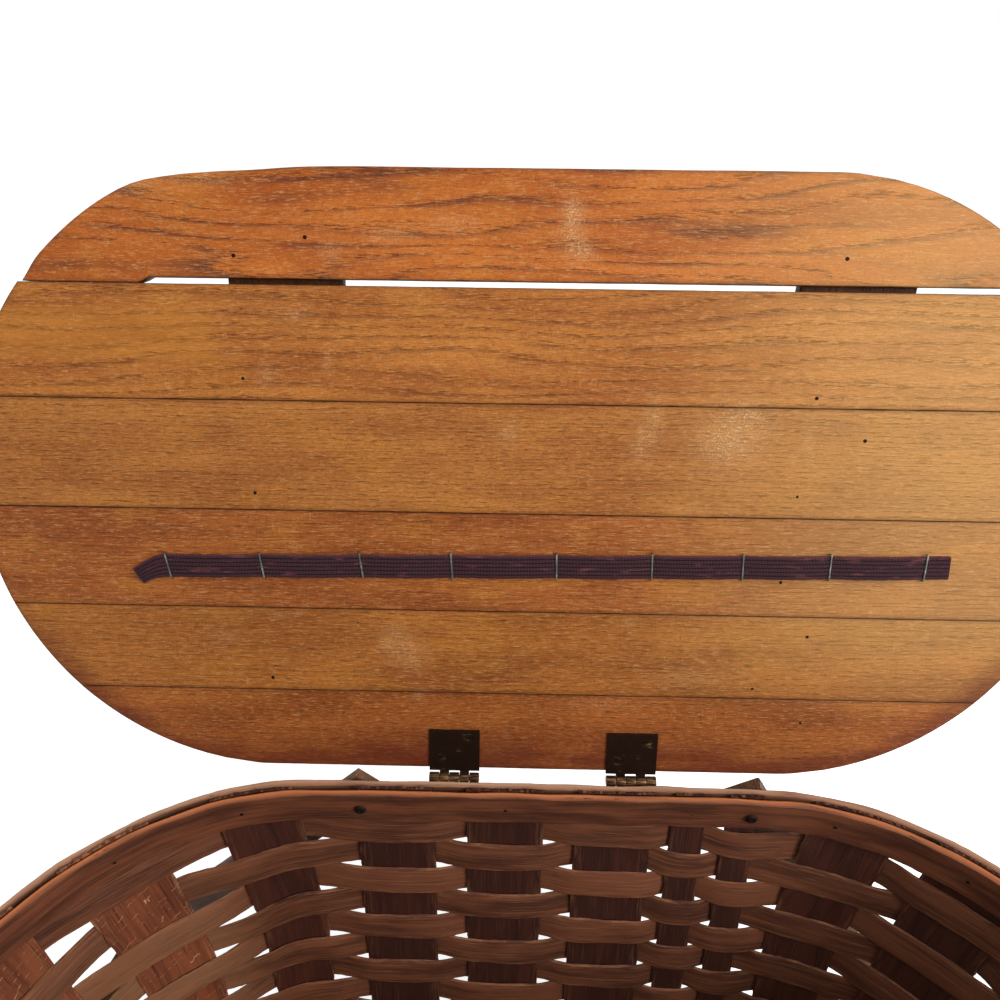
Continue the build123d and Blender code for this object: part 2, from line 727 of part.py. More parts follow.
def make_hinge_pins():
    """The two hinge pins, held in the rim leaves' knuckles."""
    with BuildPart() as pins:
        with Locations(*[(centre, pin_y, pin_z) for centre in hinge_centres]):
            Cylinder(pin_radius, hinge_width, rotation=(0, 90, 0))
    return pins


hinge_pins = make_hinge_pins()
hinge_pins.part.label = "hinge_pins"
export_step(hinge_pins.part, "parts/hinge_pins.step")


def make_screws(plane, places, length):
    """Slotted countersunk screws through a hinge leaf that lies on a plane."""
    slot_width = screw_head_radius / 4
    with BuildPart() as screws:
        with Locations(plane):
            with Locations(*[(x, up, leaf_thickness - screw_head_height) for x, up in places]):
                Cylinder(screw_radius, length, align=DOWNWARD)
                Cone(screw_radius, screw_head_radius, screw_head_height, align=UPWARD)
            with Locations(*[(x, up, leaf_thickness) for x, up in places]):
                Box(2 * screw_head_radius, slot_width, screw_head_height, mode=Mode.SUBTRACT)
    return screws


lid_screw_centres = [(centre + x, up) for centre in hinge_centres for x, up in lid_leaf_screws]
lid_screws = make_screws(lid_leaf_plane, lid_screw_centres, lid_screw_length)
lid_screws.part.label = "lid_hinge_screws"
export_step(lid_screws.part, "parts/lid_hinge_screws.step")

rim_screws = make_screws(rim_leaf_plane, rim_screw_centres, rim_screw_length)
rim_screws.part.label = "rim_hinge_screws"
export_step(rim_screws.part, "parts/rim_hinge_screws.step")
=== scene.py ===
"""Looks of a woven splint picnic basket with a hinged board lid and two swinging handles.

The classes hold their sizes in millimetres, and meshes are made in metres, in the frame's own
axes: +X along the basket, +Y to the hinge side and +Z up. Arrays of places have x, y and z on
their last axis. On the lid, x runs along the hinge, up is the height above the lid's hinge edge,
and depth is the distance out of the plane of the pins, towards the lid's inner side.
"""
import logging
import math
from dataclasses import dataclass, field
from enum import Enum
from functools import partial
from typing import Callable, Optional, Sequence

import bpy
import numpy as np
from mathutils import Matrix, Vector


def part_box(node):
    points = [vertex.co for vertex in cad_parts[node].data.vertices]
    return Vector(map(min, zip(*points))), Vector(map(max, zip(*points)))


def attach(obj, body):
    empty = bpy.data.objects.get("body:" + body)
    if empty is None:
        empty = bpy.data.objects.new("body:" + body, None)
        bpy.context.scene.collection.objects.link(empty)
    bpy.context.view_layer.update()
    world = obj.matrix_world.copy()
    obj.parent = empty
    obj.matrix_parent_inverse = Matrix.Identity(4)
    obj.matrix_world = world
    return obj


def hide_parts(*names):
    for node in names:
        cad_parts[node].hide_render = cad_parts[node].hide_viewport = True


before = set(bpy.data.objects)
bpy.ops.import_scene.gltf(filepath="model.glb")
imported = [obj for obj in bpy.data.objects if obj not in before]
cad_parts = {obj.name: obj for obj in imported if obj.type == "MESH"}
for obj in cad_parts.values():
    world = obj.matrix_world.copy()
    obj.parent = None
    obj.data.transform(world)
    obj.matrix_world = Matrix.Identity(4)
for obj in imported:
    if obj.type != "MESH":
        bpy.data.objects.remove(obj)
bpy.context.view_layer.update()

MM = 0.001
UP = np.array([0.0, 0.0, 1.0])
SEED_SHIFT = 37.0  # keeps the grain of one piece apart from that of the next
HANDLE_PIVOTS = (-88.6, 106.9)
PIVOT_DROP = 11.0
log = logging.getLogger("basket")

Colour = tuple[float, float, float]
Pair = tuple[float, float]
Array = np.ndarray
Place = Callable[[Array, Array, Array], Array]
Ends = Callable[[Array], tuple[Array, Array]]


class Body(Enum):
    """The moving bodies of the frame."""

    BASKET = "basket"
    LID = "lid"
    LEFT_HANDLE = "left_handle"
    RIGHT_HANDLE = "right_handle"


class Slot(Enum):
    """The record's material slots."""

    LID_WOOD = "lid_wood"
    RIM_WOOD = "rim_wood"
    SPLINT_WOOD = "splint_wood"
    HANDLE_WOOD = "handle_wood"
    BASE_WOOD = "base_wood"
    STRAP_FABRIC = "strap_fabric"
    NAIL_STEEL = "nail_steel"
    STAPLE_STEEL = "staple_steel"


def linear(colour: Colour) -> tuple[float, ...]:
    """Turn a screen colour of 0 to 255 into the linear colour that a shader takes.

    Args:
        colour: Red, green and blue from 0 to 255.

    Returns:
        Linear red, green, blue and alpha.
    """
    parts = [c / 255 for c in colour]
    return (*(p / 12.92 if p <= 0.04045 else ((p + 0.055) / 1.055) ** 2.4 for p in parts), 1.0)


def wander(at: Array, wavelength: float, size: float, rng: np.random.Generator,
           loop: Optional[float] = None) -> Array:
    """A smooth random curve made of sines.

    Args:
        at: Places along the curve.
        wavelength: Typical length of one wave, in the same unit.
        size: Typical height of the waves.
        rng: Seeded source of random numbers.
        loop: Total length, where the curve has to close on itself.

    Returns:
        The height of the curve at each place.
    """
    waves = wavelength * np.array([2.1, 1.37, 1.0, 0.71, 0.52])
    total = np.zeros_like(at, dtype=float)
    for length in waves:
        cycles = max(1, round(loop / length)) / loop if loop else 1 / length
        total += rng.normal(0.0, 1.0) * np.sin(2 * np.pi * (at * cycles + rng.random()))
    return total * size / math.sqrt(len(waves) / 2)


def smoothstep(low: float, high: float, value: Array) -> Array:
    """Zero at low and one at high, which may be the smaller one, and smooth between."""
    part = np.clip((value - low) / (high - low), 0.0, 1.0)
    return part * part * (3 - 2 * part)


def headings(path: Array) -> Array:
    """Unit directions along a path, one for each of its points."""
    heading = np.gradient(path, axis=0)
    return heading / np.linalg.norm(heading, axis=1)[:, None]


def stacked(x: Array, y: Array, z: Array) -> Array:
    """Places from their x, y and z."""
    return np.stack(np.broadcast_arrays(x, y, z), axis=-1)


def straight_ends(low: float, high: float, across: Array) -> tuple[Array, Array]:
    """Straight ends of a board, at every place across it."""
    return np.full_like(across, low), np.full_like(across, high)


def tube_faces(rows: int, ring: int, closed: bool = False, mirrored: bool = False) -> list[tuple[int, ...]]:
    """Faces of a tube whose points come ring by ring.

    Args:
        rows: Number of rings.
        ring: Points of each ring.
        closed: Whether the last ring joins the first, so that the tube has no flat ends.
        mirrored: Whether the rings turn the other way.

    Returns:
        The faces.
    """
    quads = [(i * ring + j, i * ring + (j + 1) % ring, (i + 1) % rows * ring + (j + 1) % ring,
              (i + 1) % rows * ring + j) for i in range(rows if closed else rows - 1) for j in range(ring)]
    caps = [] if closed else [tuple(range(ring - 1, -1, -1)), tuple(range((rows - 1) * ring, rows * ring))]
    if mirrored:
        return [(a, d, c, b) for a, b, c, d in quads] + [cap[::-1] for cap in caps]
    return quads + caps


@dataclass
class Shape:
    """Points, faces and painted marks of a mesh that is being built."""

    points: list[Array] = field(default_factory=list)
    faces: list[tuple[int, ...]] = field(default_factory=list)
    grain: list[Array] = field(default_factory=list)
    marks: dict[str, list[Array]] = field(default_factory=dict)
    count: int = 0

    def add(self, points: Array, faces: Sequence[Sequence[int]], grain: Array, **marks: "Array | float") -> None:
        """Add a closed form.

        Args:
            points: Its points in millimetres.
            faces: Its faces, counted from its own first point.
            grain: Along, across and through the wood at each point, in millimetres.
            marks: Named painted values, for each point or for all.
        """
        self.points.append(points)
        self.grain.append(grain)
        self.faces.extend(tuple(index + self.count for index in face) for face in faces)
        for name in dict.fromkeys([*self.marks, *marks]):
            self.marks.setdefault(name, [np.zeros(self.count)])
            self.marks[name].append(np.broadcast_to(marks.get(name, 0.0), (len(points),)))
        self.count += len(points)

    def hand_in(self, name: str, finish: bpy.types.Material, body: Body, slot: Slot, node: str,
                crease: float = 38.0) -> None:
        """Make the Blender object and give it to the frame.

        Args:
            name: Name of the piece.
            finish: Its material.
            body: The body that it moves with.
            slot: Not used.
            node: The frame's node that it stands for.
            crease: Angle in degrees above which an edge stays sharp.
        """
        mesh = bpy.data.meshes.new(name)
        mesh.from_pydata((np.concatenate(self.points) * MM).tolist(), [], self.faces)
        mesh.update()
        grain = mesh.attributes.new("grain", "FLOAT_VECTOR", "POINT")
        grain.data.foreach_set("vector", (np.concatenate(self.grain) * MM).astype(np.float32).ravel())
        for mark, values in self.marks.items():
            layer = mesh.attributes.new(mark, "FLOAT", "POINT")
            layer.data.foreach_set("value", np.concatenate(values).astype(np.float32))
        mesh.polygons.foreach_set("use_smooth", [True] * len(mesh.polygons))
        mesh.set_sharp_from_angle(angle=math.radians(crease))
        mesh.materials.append(finish)
        piece = bpy.data.objects.new(name, mesh)
        bpy.context.scene.collection.objects.link(piece)
        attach(piece, body.value)
        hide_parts(node)
        log.info("built %s", name)


@dataclass(frozen=True)
class Sweep:
    """A strip of wood along a path, with a rounded rectangle for its section."""

    path: Array
    across: Array
    outward: Array
    half_width: Array
    half_thick: Array
    closed: bool = False
    cup: float = 0.0
    columns: int = 7
    round_over: float = 0.5
    ragged: float = 0.0
    bleached: Optional[Array] = None

    def section(self) -> list[tuple[float, float, float, float]]:
        """Points of the section, over the outer face and back under the inner one.

        Returns:
            For each point its share of half the width and of half the thickness, and the shares of
            the round-over that come off the two.
        """
        half = [(float(s), 1.0, 1.0, 0.0) for s in np.linspace(-1, 1, self.columns)]
        half += [(1.0, 1.0, 0.3, 0.3), (1.0, 1.0, 0.0, 1.0)]
        return half + [(-s, -t, off_s, off_t) for s, t, off_s, off_t in half]

    def shape(self, seed: int, tone: float = 0.0, bright_top: bool = False) -> Shape:
        """Make the strip's mesh.

        Args:
            seed: Seed of its irregularities.
            tone: Painted tone of the whole strip.
            bright_top: Paint the width's far edge paler, as on the top of a rim hoop, both for its sanding and as a
                painted highlight.

        Returns:
            A new shape with the strip.
        """
        rng = np.random.default_rng(seed)
        rows = len(self.path)
        steps = np.linalg.norm(np.diff(self.path, axis=0, append=self.path[:1]), axis=1)
        along = np.concatenate([[0.0], np.cumsum(steps[:-1])])
        loop = float(steps.sum()) if self.closed else None
        fray = [wander(along, 9, 0.5 * self.ragged, rng, loop) + wander(along, 3.1, 0.35 * self.ragged, rng, loop)
                for _ in range(2)]
        swell = [wander(along, 70, 0.12 * self.round_over + 0.03, rng, loop) for _ in range(2)]
        limit = np.minimum(self.round_over, self.half_thick * 0.96)
        section = self.section()
        points, grain = [], []
        for s, t, off_s, off_t in section:
            width = s * (self.half_width - off_s * limit) + (fray[0] if s > 0 else -fray[1]) * abs(s) ** 6
            thick = t * (self.half_thick - off_t * limit) + self.cup * (width / self.half_width.max()) ** 2 \
                + (swell[0] if t > 0 else -swell[1])
            points.append(self.path + self.across * width[:, None] + self.outward * thick[:, None])
            grain.append(stacked(along, width, thick + seed * SEED_SHIFT))
        ring = len(section)
        marks = {"edge": np.tile([float(abs(s) > 0.99) for s, *_ in section], rows), "tone": tone,
                 "sanding_and_highlight": np.tile([float(bright_top and s > 0.99 and off < 0.5) for s, _, off, _ in section], rows)}
        if self.bleached is not None:
            marks["bleached"] = np.repeat(self.bleached, ring)
        shape = Shape()
        shape.add(np.stack(points, axis=1).reshape(-1, 3), tube_faces(rows, ring, self.closed),
                  np.stack(grain, axis=1).reshape(-1, 3), **marks)
        return shape

    def add_slivers(self, shape: Shape, seed: int, count: int, longest: float, rise: float = 0.3) -> None:
        """Add loose fibres that lift from the strip's edges.

        Args:
            shape: The shape that takes them.
            seed: Seed of their places.
            count: How many there are.
            longest: Length of the longest, in millimetres.
            rise: How steeply the steepest leaves the edge.
        """
        rng = np.random.default_rng(seed)
        for _ in range(count):
            row = int(rng.integers(2, len(self.path) - 3))
            side, face = rng.choice([-1, 1]), rng.choice([-1, 1])
            across, outward, half = self.across[row], self.outward[row], self.half_width[row]
            heading = self.path[row + 1] - self.path[row - 1]
            heading = heading / np.linalg.norm(heading) * rng.choice([-1, 1])
            length = longest * rng.uniform(0.3, 1.0)
            root = self.path[row] + across * side * (half - 0.25) + outward * face * self.half_thick[row] * 0.3
            lift = across * side * rng.uniform(0.03, rise) + outward * face * rng.uniform(0, 0.2)
            wide, deep = outward * 0.22, across * side * 0.35
            points = np.array([root - wide, root + wide, root - deep - heading, root + (heading + lift) * length])
            grain = np.array([[row * 3.0, half * side, seed * SEED_SHIFT]] * 4)
            shape.add(points, [(0, 2, 1), (0, 1, 3), (1, 2, 3), (2, 0, 3)], grain, edge=1.4)


@dataclass(frozen=True)
class Value:
    """An output of a node, open to plain arithmetic."""

    nodes: "Nodes"
    socket: bpy.types.NodeSocket

    def __add__(self, other: "Value | float") -> "Value":
        """This and another."""
        return self.nodes.maths("ADD", self, other)

    def __sub__(self, other: "Value | float") -> "Value":
        """This less another."""
        return self.nodes.maths("SUBTRACT", self, other)

    def __rsub__(self, other: float) -> "Value":
        """A number less this."""
        return self.nodes.maths("SUBTRACT", other, self)

    def __mul__(self, other: "Value | float") -> "Value":
        """This times another."""
        return self.nodes.maths("MULTIPLY", self, other)

    def axis(self, number: int) -> "Value":
        """One axis of a vector."""
        return Value(self.nodes, self.nodes.new("ShaderNodeSeparateXYZ", {0: self}).outputs[number])

    def between(self, low: float, high: float) -> "Value":
        """Zero at low and one at high, which may be the smaller one, and smooth between.

        Args:
            low: Value that gives 0.
            high: Value that gives 1.

        Returns:
            The result from 0 to 1.
        """
        ends = (low, high, 0.0, 1.0) if low <= high else (high, low, 1.0, 0.0)
        names = ("From Min", "From Max", "To Min", "To Max")
        node = self.nodes.new("ShaderNodeMapRange", {"Value": self, **dict(zip(names, ends))},
                              interpolation_type="SMOOTHSTEP")
        return Value(self.nodes, node.outputs["Result"])

    def noise(self, lengths: tuple[float, float, float], detail: float = 2.0, rough: float = 0.5) -> "Value":
        """Noise at this place in metres, whose grains have a size in millimetres along each axis.

        Args:
            lengths: Size of a grain along each axis, in millimetres.
            detail: Octaves of finer noise.
            rough: Strength of the finer octaves.

        Returns:
            The noise from 0 to 1.
        """
        scaled = self.nodes.new("ShaderNodeVectorMath", {0: self, 1: [1 / (length * MM) for length in lengths]},
                                operation="MULTIPLY").outputs[0]
        node = self.nodes.new("ShaderNodeTexNoise", {"Vector": scaled, "Scale": 1.0, "Detail": detail,
                                                     "Roughness": rough})
        return Value(self.nodes, node.outputs["Fac"])


Layer = tuple[Value, Colour]


class Nodes:
    """Short ways to write the node tree of a material or of the world."""

    def __init__(self, owner: bpy.types.ID) -> None:
        """Start an empty tree.

        Args:
            owner: The new material or world.
        """
        owner.use_nodes = True
        self.owner = owner
        self.tree = owner.node_tree
        self.tree.nodes.clear()

    def new(self, kind: str, inputs: dict[object, object], **settings: object) -> bpy.types.Node:
        """Add a node.

        Args:
            kind: Blender's name for the node.
            inputs: What goes into its inputs: values, outputs, numbers, vectors and colours.
            settings: Its other settings.

        Returns:
            The node.
        """
        node = self.tree.nodes.new(kind)
        for name, setting in settings.items():
            setattr(node, name, setting)
        for name, value in inputs.items():
            value = value.socket if isinstance(value, Value) else value
            if isinstance(value, bpy.types.NodeSocket):
                self.tree.links.new(value, node.inputs[name])
            else:
                node.inputs[name].default_value = linear(value) if isinstance(value, tuple) else value
        return node

    def mark(self, name: str, output: str = "Fac") -> Value:
        """A painted attribute of the mesh."""
        return Value(self, self.new("ShaderNodeAttribute", {}, attribute_name=name).outputs[output])

    def maths(self, operation: str, first: object, second: object = 0.0, clamp: bool = False) -> Value:
        """A maths node.

        Args:
            operation: Blender's name for the operation.
            first: First value, output or number.
            second: Second value, output or number.
            clamp: Keep the result from 0 to 1.

        Returns:
            The result.
        """
        return Value(self, self.new("ShaderNodeMath", {0: first, 1: second}, operation=operation,
                                    use_clamp=clamp).outputs[0])

    def layered(self, colour: Colour, *layers: Layer) -> Value:
        """Lay colours over a first one.

        Args:
            colour: The first colour.
            layers: How much of each further colour shows, and the colour.

        Returns:
            The mixed colour.
        """
        for share, over in layers:
            node = self.new("ShaderNodeMix", {"Factor": share, "A": colour, "B": over}, data_type="RGBA",
                            clamp_factor=True)
            colour = Value(self, node.outputs["Result"])
        return colour

    def bump(self, height: Value, depth: float, **under: Value) -> Value:
        """A bumped normal.

        Args:
            height: Height from 0 to 1.
            depth: What a height of 1 stands for, in millimetres.
            under: Normal of a bump that lies under this one, as Normal.

        Returns:
            The new normal.
        """
        node = self.new("ShaderNodeBump", {"Distance": depth * MM, "Height": height, **under})
        return Value(self, node.outputs["Normal"])

    def surface(self, colour: Value, roughness: "Value | float", normal: Value, metallic: float = 0.0,
                specular: float = 0.5) -> bpy.types.Material:
        """Close a material's tree with its surface shader.

        Args:
            colour: Base colour.
            roughness: Roughness.
            normal: Bumped normal.
            metallic: 1 for bare metal.
            specular: Strength of the plain reflection.

        Returns:
            The finished material.
        """
        shader = self.new("ShaderNodeBsdfPrincipled", {
            "Base Color": colour, "Roughness": roughness, "Normal": normal, "Metallic": metallic,
            "Specular IOR Level": specular})
        self.new("ShaderNodeOutputMaterial", {"Surface": shader.outputs[0]})
        return self.owner


@dataclass(frozen=True)
class BoardWood:
    """Oiled, worn boards of an open-pored wood, with a pattern that depends on how each was sawn."""

    name: str
    light: Colour
    deep: Colour
    line: Colour
    ring_pitch: float = 3.2
    swirl: float = 0.7
    pores: float = 0.5
    rings_show: float = 0.3
    pore_spread: float = 0.4
    pale: Colour = (206, 150, 92)
    gold: Colour = (188, 122, 44)
    stain: Colour = (84, 26, 16)
    rubbed: Colour = (224, 188, 146)
    # Colour of the painted sheen towards the lid's right.
    faded: Colour = (220, 180, 112)
    border: Colour = (48, 21, 10)

    def material(self) -> bpy.types.Material:
        """Build the material.

        Returns:
            The finished material.
        """
        nodes = Nodes(bpy.data.materials.new(self.name))
        grain = nodes.mark("grain", "Vector")
        ring = nodes.maths("FRACT", grain.axis(1) * (1 / (self.ring_pitch * MM))
                           + grain.noise((150, 26, 60), 1.0, 0.4) * (4.5 * self.swirl)
                           + grain.noise((60, 4, 20), 3.0, 0.6) * (6.2 / self.ring_pitch))
        late = ring.between(0.56, 0.92) * ring.between(1.0, 0.95)
        early = nodes.maths("MAXIMUM", ring.between(0.24, 0.05), ring.between(0.86, 0.96))
        dashes = grain.noise((5.5, 0.5, 3), 3.0, 0.68)
        open_pores = dashes.between(0.50, 0.61) * (early * 0.75 + self.pore_spread)
        ticks = grain.noise((0.9, 6.0, 3), 3.0, 0.65).between(0.60, 0.76)
        scratches = nodes.maths("MAXIMUM", grain.noise((3.4, 0.5, 2), 2.0, 0.65), grain.noise((0.7, 1.1, 2), 2.0, 0.65))
        scuff, stain = nodes.mark("scuff"), nodes.mark("stain")
        scuffed = nodes.maths("MULTIPLY", scuff, scratches.between(0.52, 0.72), clamp=True)
        colour = nodes.layered(
            self.light,
            (grain.noise((85, 17, 40)).between(0.28, 0.72) * 0.8, self.deep),
            (grain.noise((46, 30, 40)).between(0.50, 0.72) * 0.35, self.gold),
            (late * grain.noise((70, 6, 20)).between(0.34, 0.62) * self.rings_show, self.line),
            (open_pores * self.pores, self.line),
            (grain.noise((4.6, 0.55, 3), 3.0, 0.7).between(0.52, 0.65) * 0.52, self.pale),
            (ticks * grain.noise((38, 20, 20)).between(0.5, 0.66) * 0.6, self.pale),
            (grain.noise((0.6, 1.8, 3), 3.0, 0.7).between(0.53, 0.68) * 0.34, self.line),
            (grain.noise((2.2, 0.5, 2), 3.0, 0.72).between(0.47, 0.70) * 0.42, self.line),
            (scuff * 0.22, self.pale),
            (scuffed * 0.75, self.rubbed),
            (nodes.mark("golden") * 0.35, self.gold),
            # Painted sheen: paler towards the lid's right and up the lid.
            (nodes.mark("faded") * 0.28, self.faded),
            # Real stains along the lower outline, and painted shade along the hinge edge next to the rim.
            (stain * 0.45, self.stain),
            (stain * grain.noise((30, 7, 9), 3.0).between(0.3, 0.6) * 0.5, self.stain),
            (nodes.maths("POWER", nodes.mark("edge"), 2.0) * 0.8, self.border))
        normal = nodes.bump(scuffed, 0.12, Normal=nodes.bump(open_pores * -1.0 + late * 0.5, 0.12))
        return nodes.surface(colour, dashes * 0.25 + 0.42 + scuff * 0.25, normal, specular=0.16)


@dataclass(frozen=True)
class SplintWood:
    """Dark stained split wood, with fibrous streaks and pale broken edges."""

    name: str
    dark: Colour = (68, 34, 20)
    body: Colour = (106, 60, 38)
    fibre: Colour = (140, 90, 58)
    edge: Colour = (156, 106, 70)
    # Colour of a rim hoop's top, for its sanding and a painted highlight.
    sanding_and_highlight: Colour = (176, 112, 70)
    # Colour of the painted light at the weave's left end.
    pale: Colour = (160, 112, 76)
    crack: Colour = (34, 17, 11)
    ticks: float = 0.0
    tick_pitch: float = 5.2
    slant: float = 0.45
    fibres: float = 0.5
    gloss: float = 0.5
    fray: float = 0.5

    def material(self) -> bpy.types.Material:
        """Build the material.

        Returns:
            The finished material.
        """
        nodes = Nodes(bpy.data.materials.new(self.name))
        grain = nodes.mark("grain", "Vector")
        tone = grain.noise((42, 9, 30), 3.0) * 0.6 + grain.noise((120, 2.6, 9), 3.0, 0.6) * 0.4 + nodes.mark("tone")
        hair = grain.noise((36, 0.75, 3), 4.0, 0.68)
        cracks = grain.noise((40, 0.9, 3), 3.0, 0.65).between(0.40, 0.30)
        pitch = self.tick_pitch * MM
        slanted = grain.axis(0) * (1 / pitch) + grain.axis(1) * (self.slant / pitch) \
            + grain.noise((9, 30, 9), 1.0) * 2.6 + grain.noise((30, 2.2, 9), 1.0) * 0.5
        comb = nodes.maths("FRACT", slanted).between(0.90, 0.985)
        tick = comb * grain.noise((9, 3.2, 5)).between(0.50, 0.58) * self.ticks
        chewed = nodes.mark("edge") * grain.noise((14, 1.2, 2), 3.0, 0.6).between(0.46, 0.66)
        colour = nodes.layered(
            self.dark,
            (tone.between(0.36, 0.64), self.body),
            (hair.between(0.53, 0.66) * self.fibres, self.fibre),
            # Painted light: the weavers are paler at the basket's left end.
            (nodes.mark("bleached") * 0.36, self.pale),
            (cracks * 0.7, self.crack),
            (tick, self.edge),
            (chewed * self.fray, self.edge),
            # Paler top of a rim hoop: partly its sanding, partly a painted highlight.
            (nodes.mark("sanding_and_highlight") * grain.noise((60, 3, 9), 3.0, 0.6).between(0.2, 0.52), self.sanding_and_highlight))
        return nodes.surface(colour, hair * 0.3 + self.gloss, nodes.bump(hair - cracks - tick, 0.16), specular=0.3)


@dataclass(frozen=True)
class AgedMetal:
    """Metal that has darkened, rubbed bright here and there, and brighter on a knuckle's round if it has one, which is
    partly rubbed brass and partly a painted glint.
    """

    name: str
    dark: Colour
    bright: Colour
    rubbed: float = 0.3
    smooth: float = 0.35
    knuckle: Optional[Pair] = None

    def material(self) -> bpy.types.Material:
        """Build the material.

        Returns:
            The finished material.
        """
        nodes = Nodes(bpy.data.materials.new(self.name))
        place = Value(nodes, nodes.new("ShaderNodeTexCoord", {}).outputs["Object"])
        patina = place.noise((5.0, 5.0, 5.0), 4.0, 0.6)
        scratch = place.noise((6.0, 0.5, 0.5), 3.0, 0.6)
        worn = 0.2 * self.rubbed
        layers = [((patina * 0.6 + scratch * 0.4).between(0.62 - worn, 0.76 - worn), self.bright)]
        # A knuckle's round is painted brighter: partly rubbed brass, partly a painted glint.
        if self.knuckle:
            aside, above = (place.axis(axis) - middle * MM for axis, middle in zip((1, 2), self.knuckle))
            apart = nodes.maths("SQRT", aside * aside + above * above)
            layers.append((apart.between(3.2 * MM, 2.9 * MM) * scratch.between(0.42, 0.62) * 0.6, self.bright))
        return nodes.surface(nodes.layered(self.dark, *layers), patina * 0.3 + self.smooth,
                             nodes.bump(patina + scratch, 0.03), metallic=0.85)


@dataclass(frozen=True)
class Elastic:
    """Ribbed elastic webbing, woven fine across its ribs."""

    name: str
    base: Colour = (38, 20, 24)
    bright: Colour = (82, 54, 62)
    faded: Colour = (150, 84, 80)
    # Colour of the painted shade in the valleys between the ribs.
    valley: Colour = (18, 8, 11)
    thread: float = 0.7

    def material(self) -> bpy.types.Material:
        """Build the material.

        Returns:
            The finished material.
        """
        nodes = Nodes(bpy.data.materials.new(self.name))
        grain = nodes.mark("grain", "Vector")
        rows = nodes.maths("SINE", grain.axis(0) * (2 * math.pi / (self.thread * MM)))
        weave = rows * 0.28 + grain.noise((0.5, 0.4, 1), 2.0, 0.6)
        colour = nodes.layered(
            self.base,
            (weave.between(0.35, 0.85), self.bright),
            # Painted shade in the valleys between the ribs.
            ((1.0 - nodes.mark("rib")).between(0.35, 0.9) * 0.85, self.valley),
            (grain.noise((14, 3, 3), 3.0, 0.6).between(0.55, 0.75) * 0.35, self.faded),
            (nodes.mark("edge") * 0.35, self.faded))
        return nodes.surface(colour, 0.85, nodes.bump(weave, 0.12), specular=0.12)


@dataclass(frozen=True)
class RimOutline:
    """Outline of the rim seen from above: flat and gently bowed sides with round ends."""

    length: float = 512.0
    width: float = 287.0
    bow_radius: float = 650.0
    bow_turn: float = math.radians(3.5)

    @property
    def end_radius(self) -> float:
        """Radius of the round ends."""
        return (self.width / 2 - self.bow_radius * (1 - math.cos(self.bow_turn))) / math.cos(self.bow_turn)

    @property
    def flat_half(self) -> float:
        """Half the length of the flat part of a side."""
        return self.length / 2 - self.bow_radius * math.sin(self.bow_turn) \
            - self.end_radius * (1 - math.sin(self.bow_turn))

    @property
    def bow_centre(self) -> float:
        """Centre of the bowed parts, across the basket."""
        return self.width / 2 - self.bow_radius

    @property
    def end_centre(self) -> float:
        """Centre of the round ends, along the basket."""
        return self.flat_half + (self.bow_radius - self.end_radius) * math.sin(self.bow_turn)

    @property
    def quarter(self) -> float:
        """Length of a quarter of the outline."""
        return self.flat_half + self.bow_turn * self.bow_radius + (math.pi / 2 - self.bow_turn) * self.end_radius

    def past_flat(self, x: float) -> float:
        """How far a place along the basket lies past the flat part of a side."""
        return max(0.0, abs(x) - self.flat_half)

    def place(self, station: Array, inset: "Array | float") -> tuple[Array, Array]:
        """Points and outward directions at lengths along the outline from the middle of the back.

        Args:
            station: Lengths that grow towards +X.
            inset: How far in each point lies.

        Returns:
            The points and the outward directions, both with z at 0.
        """
        along = np.mod(station, 4 * self.quarter)
        front = (along > self.quarter) & (along < 3 * self.quarter)
        left = along > 2 * self.quarter
        along = np.where(front, np.abs(2 * self.quarter - along), np.where(left, 4 * self.quarter - along, along))
        bow = self.bow_turn * self.bow_radius
        on_flat, on_bow = along <= self.flat_half, along <= self.flat_half + bow
        turn = np.where(on_flat, 0.0, np.where(on_bow, (along - self.flat_half) / self.bow_radius,
                                               self.bow_turn + (along - self.flat_half - bow) / self.end_radius))
        centre_x = np.where(on_flat, along, np.where(on_bow, self.flat_half, self.end_centre))
        centre_y = np.where(on_bow, self.bow_centre, 0.0)
        reach = np.where(on_bow, self.bow_radius, self.end_radius) - inset
        x_sign, y_sign = np.where(left, -1.0, 1.0), np.where(front, -1.0, 1.0)
        return (stacked(x_sign * (centre_x + reach * np.sin(turn)), y_sign * (centre_y + reach * np.cos(turn)), 0.0),
                stacked(x_sign * np.sin(turn), y_sign * np.cos(turn), 0.0))


